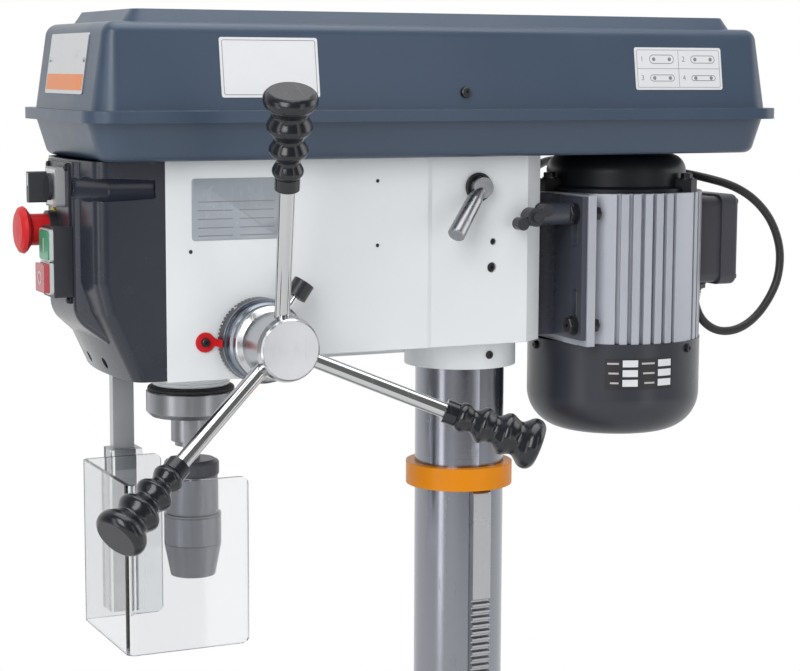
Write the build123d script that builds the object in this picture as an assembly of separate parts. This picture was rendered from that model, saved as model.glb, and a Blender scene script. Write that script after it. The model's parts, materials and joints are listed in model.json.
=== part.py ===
from build123d import *
import math
import os

# Floor-standing pillar drill, in millimetres. The origin is on the floor under the column axis.
# +Z is up, the operator stands at -Y and the feed handles are on the +X side.
# Heights named "above the datum" are added to HEAD_Z.

# Layout
HEAD_Z = 1350.0
SPINDLE_Y = -255.0
MOTOR_Y = 160.0
IDLER_Y = -45.0
TABLE_Z = 850.0

# Clearances
SHAFT_FIT = 0.05
SLIDE_FIT = 0.08
RUN_GAP = 0.4
OVER = 1.0
BACKLASH = 0.3

# Base and column
BASE_W = 330.0
BASE_FRONT = -345.0
BASE_REAR = 145.0
BASE_H = 48.0
BASE_CORNER = 45.0
BASE_EDGE = 6.0
BASE_WALL = 14.0
BASE_TOP = 20.0
BASE_RIB = 16.0
BASE_RIB_X = 38.0
BASE_PAD = 44.0
BASE_BOLT_R = 7.0
BASE_BOLT_INSET = 40.0
BOSS_SHARE = 2.5
BASE_SLOT_W = 16.0
BASE_SLOTS = (-75.0, 0.0, 75.0)
BASE_SLOT_L = 160.0
BASE_SLOT_Y = -220.0
COLUMN_R = 40.0
COLUMN_WALL = 5.0
COLUMN_IN_HEAD = 120.0
FOOT_R = 95.0
FOOT_T = 20.0
FOOT_CONE = 12.0
SOCKET_R = 58.0
SOCKET_H = 90.0
FOOT_BOLT_PCD = 150.0
FOOT_BOLT_R = 6.0
FOOT_BOLT_HEX = 9.5
FOOT_BOLT_HEAD = 7.5
FOOT_BOLT_GRIP = 16.0
FOOT_SPOT_R = 14.0

# Table rack and its ring
RACK_W = 17.5
RACK_T = 7.25
RACK_MODULE = 2.0
RACK_PLAIN = 94.0
RACK_SEAT = 12.0
RACK_TOP_CHAMFER = 5.5
RACK_TOP_IN = 2.5
RING_R = 48.0
RING_H = 20.0
RING_LOW = -133.0

# Head casting, above the datum
HEAD_HALF = 72.0
REAR_HALF = HEAD_HALF - 1.5
HEAD_FRONT = -300.0
HEAD_REAR = 50.0
CREASE_Y = -67.0
CREASE_RUN = 4.0
CORNER_X = 15.5
CORNER_Y = 20.5
HEAD_LOW = 1.5
HEAD_TOP = 164.5
CHEEK_LOW = -14.5
CHEEK_REAR = -197.0
HEAD_WALL = 7.0
ROOF_T = 14.5
HOLLOW_REAR = -58.0
WEB_T = 12.0
WEB_LOW = -11.0
COLLAR_R = 50.0
COLLAR_LOW = -23.5
QUILL_BOSS_R = 33.0
QUILL_BOSS_LOW = -24.0
SHAFT_BOSS_R = 17.0
SHAFT_BOSS_L = 12.0
TAP_HOLES = ((-4.0, 90.6, 2.9), (-5.0, 68.3, 4.4))
TAP_DEPTH = 5.0
RIVET_HOLES = ((-279.0, 91.0), (-114.0, 145.0), (-114.0, 91.0))
RIVET_R = 1.6

# Front fascia, above the datum
FASCIA_SIDE_Y = -355.8
FASCIA_CROWN = 8.0
FASCIA_WALL = 3.5
FASCIA_EDGE = 11.0
FASCIA_SECTIONS = ((164.3, 0.0), (67.0, 0.0), (42.0, 6.0), (-13.0, 31.0))
NOSE_Y = -366.0
NOSE_HALF = 36.7
NOSE_ROOT_HALF = 56.0
NOSE_ROOT_Y = -343.0
NOSE_TOP = 163.0
NOSE_LOW = 36.0
NOSE_CHIN = 17.0
NOSE_ROUND = 24.0
NOSE_EDGE = 6.0
GROOVE_Z = 142.0
GROOVE_RUN = ((HEAD_HALF + 2.0, -308.0), (HEAD_HALF - 1.0, -349.0), (36.0, -372.0))
GROOVE_RADII = (7.5, 9.3, 10.3)
GROOVE_WALL = 3.0
CHIN_HOLE_X = 22.0
CHIN_HOLE_Z = -2.5
CHIN_HOLE_R = 4.5
CHIN_HOLE_REAR = -310.0

# Switches on the nose, above the datum
ROTARY_X = 5.0
ROTARY_Z = 142.0
ROTARY_PLATE = 32.0
ROTARY_DEPTH = 9.0
ROTARY_CORNER = 3.0
ROTARY_SPINDLE_LOW = 1.0
ROTARY_BORE_R = 4.0
ROTARY_KNOB_R = 11.0
ROTARY_DISC = 4.0
ROTARY_BAR_L = 25.0
ROTARY_BAR_W = 8.0
ROTARY_BAR_H = 15.0
ROTARY_BAR_CORNER = 2.0
ESTOP_X = -14.0
ESTOP_Z = 106.0
ESTOP_COLLAR_R = 15.5
ESTOP_COLLAR = 8.0
ESTOP_STEM_R = 13.0
ESTOP_STEM = 15.0
ESTOP_PROFILE = ((14.5, 0.0), (18.0, 2.5), (19.5, 4.5), (18.5, 7.5), (15.0, 9.3), (0.0, 10.0))
ESTOP_TRAVEL = 4.0
PUSH_X = 18.5
PUSH_W = 33.0
PUSH_LOW = 54.0
PUSH_HIGH = 111.0
PUSH_DEPTH = 15.5
PUSH_CORNER = 2.0
BUTTON_W = 26.0
BUTTON_H = 23.0
BUTTON_CORNER = 1.5
START_Z = 96.0
STOP_Z = 69.5
START_PROUD = 4.0
STOP_PROUD = 7.5
BUTTON_TRAVEL = 3.0
BUTTON_INSIDE = 9.0

# Belt cover, above the datum
RIM_HALF = 108.0
RIM_FRONT = -371.0
RIM_REAR = 270.0
RIM_CORNER = 25.0
RIM_Z = 195.0
RIM_LIP = 9.5
RIM_LIP_T = 2.5
COVER_WALL = 2.5
LID_INSET = 7.0
LID_TOP = 274.0
LID_DRAFT = 8.5
LID_EDGE = 11.0
PANEL_TOP = 284.0
PANEL_HALF = 84.0
PANEL_FRONT = -334.0
PANEL_REAR = 233.0
PANEL_CORNER = 18.0
PANEL_SINK = 2.0
PANEL_DRAFT = 35.0
TRAY_INSET = 5.0
TRAY_DRAFT = 17.0
TRAY_EDGE = 8.0
TRAY_FLANGE = 3.0
TRAY_CORNER = 19.0
TRAY_SHAFT_SLOT = 34.0
TRAY_BOSS_HOLE = 40.0
TRAY_PIVOT_HOLE = 14.0
HINGE_YS = (-250.0, 150.0)
HINGE_L = 60.0
HINGE_R = 4.0
HINGE_PIN_R = 2.0
HINGE_OUT = 5.0
HINGE_UP = 2.0
HINGE_LEAF_T = 1.6
HINGE_LEAF_L = 16.0
VENTS = ((-320.0, -248.0), (168.0, 224.0))
VENT_H = 2.5

# Quill and spindle, above the datum
QUILL_R = 25.0
QUILL_LOW = -54.0
QUILL_TOP = 118.0
QUILL_BORE_R = 14.0
QUILL_TRAVEL = 80.0
QUILL_RACK_LINE = 22.0
QUILL_RACK_END = 15.0
QUILL_RACK_INSET = 2.0
COLLAR_RING_R = 38.0
COLLAR_RING_H = 22.0
COLLAR_RING_CHAMFER = 4.0
COLLAR_RING_EDGE = 1.0
LOW_BEARING_R = 21.0
TOP_BEARING_R = 19.0
BEARING_W = 14.0
SPINDLE_R = 12.5
NOSE_R = 17.25
NOSE_END = -76.0
NOSE_STEP_R = 14.0
NOSE_STEP_END = -80.0
ARBOR_R = 7.25
SPLINE_R = 10.4
SPLINE_OUT = 12.2
SPLINE_W = 5.0
SPLINE_COUNT = 6
SPLINE_TOP = 262.0
SPLINE_FIT = 0.15

# Keyless chuck, above the datum
CHUCK_TOP = -92.0
CHUCK_CAP_R = 21.6
CHUCK_CAP = 13.0
CHUCK_EDGE = 2.0
CHUCK_STEP = 1.0
CHUCK_BODY_R = 22.1
SLEEVE_TOP = -138.0
SLEEVE_R = 24.3
SLEEVE_TAPER = -165.0
CHUCK_END = -192.0
CHUCK_END_R = 19.1
CORE_R = 20.4
SLEEVE_IN_R = 21.6
SLEEVE_CONE_END = -183.0
CORE_NECK = -161.0
CORE_NOSE_R = 14.4
CHUCK_BORE_R = 6.75
CHUCK_BORE_TOP = -145.0
CHUCK_SOCKET = 24.0
ARBOR_GAP = 1.0
JAW_ANGLE = 16.0
JAW_R = 3.0
JAW_L = 30.0
JAW_TIP_R = 10.0
JAW_TIP_Z = -188.0
JAW_RUN_OUT = 10.0
JAW_COUNT = 3

# Feed gear, hub and depth dial
FEED_MODULE = 1.5
FEED_TEETH = 14
FEED_Z = 17.5
PINION_HALF = 10.0
FEED_SHAFT_R = 8.0
DIAL_IN = HEAD_HALF + 2.0
DIAL_OUT = DIAL_IN + 14.0
DIAL_R = 35.0
DIAL_RING_R = 33.0
DIAL_RING_OUT = DIAL_OUT + 11.0
DIAL_EDGE = 2.0
HUB_FLANGE_OUT = DIAL_RING_OUT + 7.0
HUB_FLANGE_EDGE = 1.0
HUB_FLANGE_R = 31.0
HUB_R = 25.0
HUB_FACE = HUB_FLANGE_OUT + 41.0
HUB_ROOT = 3.0
HUB_TAPER = 6.0
HUB_EDGE = 1.5
HUB_NECK_R = 14.0
ARM_X = HUB_FACE - 22.0
ARM_PHASE = 96.9
ARM_TILT = 22.3
ARM_REACH = 221.8
ARM_R = 6.3
ARM_SEAT = 12.0
ARM_COUNT = 3
GRIP_L = 81.0
GRIP_FERRULE_R = 9.8
# Radius and share of the length at each neck and crest of the ribs, and at the flared end
GRIP_WAVE = ((9.2, 0.124), (12.0, 0.207), (9.3, 0.290), (15.2, 0.401), (11.4, 0.514), (17.6, 0.639),
             (14.2, 0.762), (20.0, 0.862), (21.1, 0.920), (16.8, 1.0))
LOCK_STUD_R = 3.0
LOCK_SEAT = 4.0
LOCK_ANGLE = 55.0
LOCK_KNOB_R = 9.0
LOCK_KNOB = (44.0, 58.0)
SPRING_CAP_R = 40.0
SPRING_CAP_T = 24.0
SPRING_CAP_WALL = 3.0
SPRING_EYE_R = 11.0

# Chuck guard, above the datum
GUARD_HALF = 65.0
GUARD_FRONT = -333.0
GUARD_NEAR_REAR = -228.0
GUARD_FAR_REAR = -262.0
GUARD_TOP = -98.0
GUARD_LOW = -240.0
GUARD_T = 4.0
GUARD_BEND = 7.0
GUARD_CORNER = 6.0
GUARD_BAR_X = -HEAD_HALF - 8.0
GUARD_BAR_Y = -291.5
GUARD_BAR_W = 19.0
GUARD_BAR_T = 10.0
GUARD_BAR_TOP = -22.0
GUARD_BAR_LOW = -238.0
GUARD_PIN_R = 7.0
GUARD_PIN_UP = 6.0
GUARD_CLIP_LOW = 3.0
GUARD_CLIP_UP = 5.0
GUARD_BRACKET_LOW = -13.0
GUARD_BRACKET_TOP = 30.0
GUARD_BRACKET_W = 24.0
GUARD_BRACKET_OUT = 13.0

# Belt drive, heights above the datum
STEP_H = 16.0
STEP_LOW = 184.0
SPINDLE_STEPS = (46.0, 58.0, 70.0, 82.0)
IDLER_STEPS = (78.0, 66.0, 54.0, 42.0)
MOTOR_STEPS = (34.0, 42.0, 50.0, 58.0)
LOWER_BELT_INDEX = 1
UPPER_BELT_INDEX = 2
GROOVE_W = 13.2
GROOVE_D = 9.5
GROOVE_ANGLE = 17.0
BELT_W = 12.5
BELT_H = 8.0
BELT_PROUD = 0.5
BELT_EDGE = 0.4
SLEEVE_JOURNAL_R = 15.0
DRIVE_BEARING_R = 27.5
DRIVE_BEARING_LOW = 138.0
DRIVE_BEARING_HIGH = 166.0
BEARING_H = 13.0
PULLEY_BOSS_R = 36.0
PULLEY_BOSS_LOW = 126.0
PULLEY_BOSS_TOP = 182.0
IDLER_PIVOT = (32.0, -86.0)
IDLER_PIVOT_R = 8.0
IDLER_ARM_T = 8.0
IDLER_ARM_W = 14.0
IDLER_PIN_R = 9.0
IDLER_PIN_UP = 4.0

# Motor, heights above the datum
MOTOR_R = 79.0
MOTOR_CORE_R = 72.5
MOTOR_BORE_R = 60.0
MOTOR_END_T = 12.0
FIN_PITCH = 8.0
FIN_GROOVE = 2.9
FIN_ROWS = ((-30.0, 6), (32.0, 5))
MOTOR_LOW = -6.0
MOTOR_HIGH = 128.5
COWL_R = 79.8
COWL_WALL = 2.0
COWL_LOW = -92.6
COWL_TOP = -6.0
COWL_EDGE = 36.0
COWL_HOLE_R = 3.0
COWL_HOLE_PITCH = 13.0
COWL_HOLE_RINGS = 3
COWL_HOLE_COUNT = 8
BELL_R = 64.0
BELL_FLANGE = 8.0
BELL_TOP = 162.0
BELL_FLANGE_R = 70.5
BELL_STEP = 2.0
BELL_RIM_H = 3.5
BELL_EDGE = 16.0
BELL_EYE_R = 11.5
LUG_IN = 54.0
LUG_OUT = 79.0
LUG_SIZE = 12.0
LUG_H = 11.5
LUG_TURN = 32.0
LUG_COUNT = 3
SHAFT_R = 9.5
SHAFT_LOW = -70.0
ROTOR_R = 38.0
STATOR_IN = 38.8
WINDING_R = 54.0
WINDING_END = 12.0
CORE_LOW = 22.0
CORE_HIGH = 100.0
FAN_R = 68.0
FAN_LOW = -66.0
FAN_HIGH = -40.0
FAN_BLADES = 8
FAN_BLADE_T = 2.0
FAN_HUB_R = 17.5
MOTOR_BEARING_R = 20.0
MOTOR_BEARING_H = 12.0
FOOT_Y = 88.0
FOOT_PLATE_T = 8.0
FOOT_HALF = 75.0
FOOT_NECK_HALF = 57.0
FOOT_LOW = -5.6
BRACKET_T = 5.0
BRACKET_HALF = REAR_HALF + 2.5
BRACKET_LOW = 0.0
BRACKET_HIGH = 127.0
BRACKET_RIB_R = 22.0
BRACKET_SLOT_X = 60.0
BRACKET_SLOT_W = 9.0
BRACKET_SLOTS = ((82.0, 118.0), (4.0, 46.0))
BAR_X = REAR_HALF - 16.5
BAR_Z = 112.0
BAR_R = 10.0
BAR_END = -44.0
TENSION_MODULE = 1.5
TENSION_TEETH = 24
TENSION_Y = -19.5
TENSION_SHAFT_R = 6.0
TENSION_PINION = (BAR_X - 6.0, BAR_X + 6.0)
TENSION_FLAT = 0.8
TENSION_RACK_END = 12.0
TENSION_TRAVEL = 12.0
SLACK_TRAVEL = 10.0
LEVER_BOSS_R = 9.0
LEVER_BOSS_OUT = HEAD_HALF + 11.0
LEVER_SEAT = 6.0
LEVER_L = 58.0
LEVER_ROOT_R = 4.6
LEVER_GRIP_R = 6.8
LEVER_END_R = 7.5
LEVER_NECK_L = 16.0
LEVER_CHAMFER = 1.0
LEVER_DIR = (0.42, -0.62, -0.66)
WING_Y = 26.5
WING_STUD_R = 4.0
WING_HUB_R = 8.0
WING_STUD_UP = 3.0
WING_IN = HEAD_HALF + 6.0
WING_OUT = WING_IN + 14.0
WING_L = 18.5
WING_TURN = 25.0
WING_END_R = 5.5
WING_EDGE = 2.0
WING_WEB = 8.0
BOX_HALF = 31.0
BOX_LOW = 38.5
BOX_HIGH = 123.0
BOX_REAR = 276.0
BOX_LID_T = 19.0
BOX_EDGE = 9.0
BOX_SEAT = 4.0
BOX_STEP = 4.0
BOX_LID_EDGE = 4.0
GLAND_R = 8.5
GLAND_L = 14.0

# Motor cable: a free loop from the back of the head to the terminal box
CABLE_R = 4.0
CABLE_BEND_SHARE = 0.45
GLAND_X = 26.0 - HEAD_HALF
HEAD_GLAND = (GLAND_X, 141.0)
MAINS_GLAND = (GLAND_X, 40.0)
CABLE_ROUTE = (
    (GLAND_X, 64.0, 141.0), (GLAND_X, 84.0, 141.0), (-68.0, 110.0, 149.0), (-89.0, 137.0, 152.0),
    (-95.0, 172.0, 152.0), (-86.0, 207.0, 149.0), (-60.0, 238.0, 144.0), (-29.0, 268.0, 138.0),
    (-6.0, 302.0, 127.0), (0.0, 330.0, 103.0), (1.0, 346.0, 71.0), (1.0, 346.0, 35.0),
    (0.0, 326.0, 5.0), (0.0, 296.0, -9.0), (0.0, 268.0, -7.0), (0.0, 248.2, 8.0), (0.0, 248.2, 33.0))

# Table, bracket and lift
TABLE_W = 290.0
TABLE_D = 284.0
TABLE_T = 16.0
TABLE_CORNER = 22.0
TABLE_SKIRT = 30.0
TABLE_SKIRT_T = 12.0
TABLE_HOLE_R = 15.0
TABLE_SLOT_W = 14.0
TABLE_SLOT_L = 150.0
TABLE_SLOT_X = 85.0
TABLE_RIB_X = 24.0
TABLE_RIB_T = 10.0
TILT_DROP = 73.0
TILT_R = 40.0
TILT_INSET = 4.0
TILT_FLANGE_T = 20.0
TILT_BOLT_R = 8.0
TILT_BOLT_GRIP = 30.0
TILT_HEX = 12.0
TILT_HEX_H = 10.0
BRACKET_RING_R = 63.0
BRACKET_RING_H = 100.0
BRACKET_CLAMP_W = 46.0
BRACKET_SLIT = 3.0
BRACKET_FACE_Y = -112.0
BRACKET_NECK_Y = -104.0
BRACKET_FLANGE_T = 14.0
CLAMP_SINK = 10.0
CLAMP_OUT = 24.0
CLAMP_INSET = 20.0
LOCK_BOLT_R = 6.0
LOCK_BOLT_OUT = 12.0
LOCK_HEAD_T = 8.0
LOCK_LEVER_L = 85.0
LOCK_LEVER_END_R = 4.8
LOCK_BALL_R = 10.8
LIFT_TEETH = 16
LIFT_WIDTH = 12.0
LIFT_SHAFT_R = 6.0
WORM_DEPTH = 2.4
WORM_PITCH_R = 8.6
WORM_THREAD = 1.7
WORM_TURNS = 2
WORM_END = 4.0
GEARBOX_X = 92.0
GEARBOX_HALF = 24.0
GEARBOX_UP = 26.0
GEARBOX_DOWN = 46.0
GEARBOX_WALL = 8.0
CRANK_SHAFT_R = 6.5
CRANK_X = 118.0
CRANK_ARM_T = 10.0
CRANK_RADIUS = 80.0
CRANK_BOSS_R = 13.0
CRANK_PIN_R = 5.0
CRANK_KNOB_PROFILE = ((9.0, 2.0), (12.0, 12.0), (10.0, 35.0), (12.0, 62.0), (8.0, 70.0))

PRESSURE = math.radians(20.0)
ADDENDUM = 0.8
DEDENDUM = 1.0
FLANK_STEPS = 5


# Shape helpers

def block(x0, x1, y0, y1, z0, z1):
    return Pos((x0 + x1) / 2, (y0 + y1) / 2, (z0 + z1) / 2) * Box(x1 - x0, y1 - y0, z1 - z0)


def post(r, z0, z1, x=0.0, y=0.0):
    return Pos(x, y, (z0 + z1) / 2) * Cylinder(r, z1 - z0)


def bar_x(r, x0, x1, y, z):
    return Pos((x0 + x1) / 2, y, z) * Rot(0, 90, 0) * Cylinder(r, abs(x1 - x0))


def bar_y(r, y0, y1, x, z):
    return Pos(x, (y0 + y1) / 2, z) * Rot(90, 0, 0) * Cylinder(r, abs(y1 - y0))


def rod(start, end, r_start, r_end):
    """Round rod between two points, tapered when the radii differ."""
    run = Vector(*end) - Vector(*start)
    plane = Plane(origin=start, z_dir=run)
    if r_start == r_end:
        return plane * Cylinder(r_start, run.length, align=(Align.CENTER, Align.CENTER, Align.MIN))
    return plane * Cone(r_start, r_end, run.length, align=(Align.CENTER, Align.CENTER, Align.MIN))


def polygon(points):
    return make_face(Polyline(*points, close=True))


def turned(points, x=0.0, y=0.0, z=0.0):
    """Solid of revolution about a vertical axis from (radius, height) points."""
    outline = Polyline(*[(r, 0, h) for r, h in points], close=True)
    return Pos(x, y, z) * revolve(make_face(outline), Axis.Z)


def facing_x(shape, x, y, z):
    return Pos(x, y, z) * Rot(0, 90, 0) * shape


def facing_front(shape, x, y, z):
    return Pos(x, y, z) * Rot(90, 0, 0) * shape


def slab(w, d, r, z0, z1, x=0.0, y=0.0):
    return Pos(x, y, z0) * extrude(RectangleRounded(w, d, r), z1 - z0)


def group(shapes):
    return Compound(children=list(shapes))


def gear(module, teeth, width):
    """Spur gear about Z, centred on its width, with a tooth pointing along +X."""
    pitch_r = module * teeth / 2
    base_r = pitch_r * math.cos(PRESSURE)
    tip_r = pitch_r + ADDENDUM * module
    root_r = pitch_r - DEDENDUM * module
    start_r = max(base_r, root_r)
    half = math.pi / (2 * teeth) - BACKLASH / (2 * pitch_r)
    involute = math.tan(PRESSURE) - PRESSURE
    flank = [(root_r, half + involute)] if root_r < start_r else []
    for step in range(FLANK_STEPS + 1):
        r = start_r + (tip_r - start_r) * step / FLANK_STEPS
        angle = math.acos(base_r / r)
        flank.append((r, half + involute - math.tan(angle) + angle))
    points = []
    for tooth in range(teeth):
        centre = 2 * math.pi * tooth / teeth
        side = [(r, centre - a) for r, a in flank] + [(r, centre + a) for r, a in reversed(flank)]
        points += [(r * math.cos(a), r * math.sin(a)) for r, a in side]
    return Pos(0, 0, -width / 2) * extrude(polygon(points), width)


def rack_gaps(module, line, first, last, origin):
    """Outline points of rack gaps along a line: depth from the axis, position along the rack."""
    pitch = math.pi * module
    tip = line + ADDENDUM * module
    root = line - DEDENDUM * module
    wide = pitch / 4 + ADDENDUM * module * math.tan(PRESSURE)
    narrow = pitch / 4 - DEDENDUM * module * math.tan(PRESSURE)
    points = []
    for index in range(math.ceil((first + wide - origin) / pitch),
                       math.floor((last - wide - origin) / pitch) + 1):
        at = origin + index * pitch
        points += [(tip, at - wide), (root, at - narrow), (root, at + narrow), (tip, at + wide)]
    return points


def hexagon_head(r, z0, z1, x=0.0, y=0.0):
    return Pos(x, y, z0) * extrude(RegularPolygon(r, 6, major_radius=False), z1 - z0)


# Base, column and rack

def base_bolt_points():
    x = BASE_W / 2 - BASE_BOLT_INSET
    return [(sx * x, y) for sx in (-1, 1) for y in (BASE_FRONT + BASE_BOLT_INSET,
                                                    BASE_REAR - BASE_BOLT_INSET)]


def foot_bolt_points():
    reach = FOOT_BOLT_PCD / 2 / math.sqrt(2)
    return [(sx * reach, sy * reach) for sx in (-1, 1) for sy in (-1, 1)]


def make_base():
    depth = BASE_REAR - BASE_FRONT
    mid = (BASE_FRONT + BASE_REAR) / 2
    body = slab(BASE_W, depth, BASE_CORNER, 0, BASE_H, 0, mid)
    body = fillet(body.faces().sort_by(Axis.Z)[-1].edges(), BASE_EDGE)
    hollow = slab(BASE_W - 2 * BASE_WALL, depth - 2 * BASE_WALL, BASE_CORNER - BASE_WALL, 0,
                  BASE_H - BASE_TOP, 0, mid)
    for side in (-1, 1):
        x = side * BASE_RIB_X
        hollow -= block(x - BASE_RIB / 2, x + BASE_RIB / 2, BASE_FRONT, BASE_REAR, 0, BASE_H)
    hollow -= block(-BASE_W, BASE_W, -BASE_PAD / 2, BASE_PAD / 2, 0, BASE_H)
    for x, y in base_bolt_points():
        hollow -= post(BOSS_SHARE * BASE_BOLT_R, 0, BASE_H, x, y)
    for x, y in foot_bolt_points():
        hollow -= post(BOSS_SHARE * FOOT_BOLT_R, 0, BASE_H, x, y)
    body -= hollow
    for x, y in base_bolt_points():
        body -= post(BASE_BOLT_R, -OVER, BASE_H + OVER, x, y)
    for x, y in foot_bolt_points():
        body -= post(FOOT_BOLT_R, BASE_H - FOOT_BOLT_GRIP - OVER, BASE_H + OVER, x, y)
    slot = SlotOverall(BASE_SLOT_L, BASE_SLOT_W, rotation=90)
    for x in BASE_SLOTS:
        body -= Pos(x, BASE_SLOT_Y, BASE_H - BASE_TOP - OVER) * extrude(slot, BASE_TOP + 2 * OVER)
    return body


def make_column_foot():
    bore = COLUMN_R + SHAFT_FIT
    seat = math.hypot(COLUMN_R + RUN_GAP + RACK_T, RACK_W / 2) + RUN_GAP
    top = BASE_H + SOCKET_H
    foot = turned([(bore, BASE_H), (FOOT_R, BASE_H), (FOOT_R, BASE_H + FOOT_T),
                   (SOCKET_R + FOOT_CONE, BASE_H + FOOT_T),
                   (SOCKET_R, BASE_H + FOOT_T + 2 * FOOT_CONE), (SOCKET_R, top), (seat, top),
                   (seat, top - RACK_SEAT),
                   (bore, top - RACK_SEAT)])
    for x, y in foot_bolt_points():
        foot -= post(FOOT_BOLT_R + RUN_GAP, BASE_H - OVER, BASE_H + FOOT_T + OVER, x, y)
        foot -= post(FOOT_SPOT_R, BASE_H + FOOT_T, top, x, y)
    bolts = []
    for x, y in foot_bolt_points():
        bolt = post(FOOT_BOLT_R, BASE_H - FOOT_BOLT_GRIP, BASE_H + FOOT_T, x, y)
        bolts.append(bolt + hexagon_head(FOOT_BOLT_HEX, BASE_H + FOOT_T,
                                         BASE_H + FOOT_T + FOOT_BOLT_HEAD, x, y))
    return foot, bolts


def make_column():
    tube = post(COLUMN_R, BASE_H, HEAD_Z + COLUMN_IN_HEAD)
    return tube - post(COLUMN_R - COLUMN_WALL, BASE_H - OVER, HEAD_Z + COLUMN_IN_HEAD + OVER)


def rack_span():
    low = BASE_H + SOCKET_H - RACK_SEAT + RUN_GAP
    high = HEAD_Z + RING_LOW + RACK_TOP_IN
    return low, high


def rack_line():
    """Distance of the rack's pitch line from the column axis."""
    return COLUMN_R + RUN_GAP + RACK_T - ADDENDUM * RACK_MODULE


def lift_gear_z():
    return TABLE_Z - TILT_DROP


def make_table_rack():
    low, high = rack_span()
    face_x = COLUMN_R + RUN_GAP + RACK_T
    back = COLUMN_R - RACK_T
    teeth = rack_gaps(RACK_MODULE, rack_line(), low + 2 * RACK_SEAT, HEAD_Z + RING_LOW - RACK_PLAIN,
                      lift_gear_z())
    points = [(back, low), (face_x, low)] + teeth
    points += [(face_x, high - RACK_TOP_CHAMFER), (face_x - RACK_TOP_CHAMFER, high), (back, high)]
    bar = Plane.XZ.offset(-RACK_W / 2) * extrude(polygon(points), RACK_W)
    return bar - post(COLUMN_R + RUN_GAP, low - OVER, high + OVER)


def make_rack_ring():
    bore = COLUMN_R + SHAFT_FIT
    low = HEAD_Z + RING_LOW
    corner = math.hypot(COLUMN_R + RUN_GAP + RACK_T - RACK_TOP_CHAMFER, RACK_W / 2)
    mouth = corner + RACK_TOP_IN + 2 * RUN_GAP
    return turned([(mouth, low), (RING_R, low), (RING_R, low + RING_H), (bore, low + RING_H),
                   (bore, low + mouth - bore)])


# Head

def head_outline():
    side = [(HEAD_HALF, HEAD_FRONT), (HEAD_HALF, CREASE_Y), (REAR_HALF, CREASE_Y + CREASE_RUN),
            (REAR_HALF, HEAD_REAR - CORNER_Y), (REAR_HALF - CORNER_X, HEAD_REAR)]
    return polygon(side + [(-x, y) for x, y in reversed(side)])


def feed_y():
    return SPINDLE_Y + QUILL_RACK_LINE + FEED_MODULE * FEED_TEETH / 2


def tension_z():
    tooth_line = BAR_R - TENSION_FLAT - ADDENDUM * TENSION_MODULE
    return HEAD_Z + BAR_Z + tooth_line + TENSION_MODULE * TENSION_TEETH / 2


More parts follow.
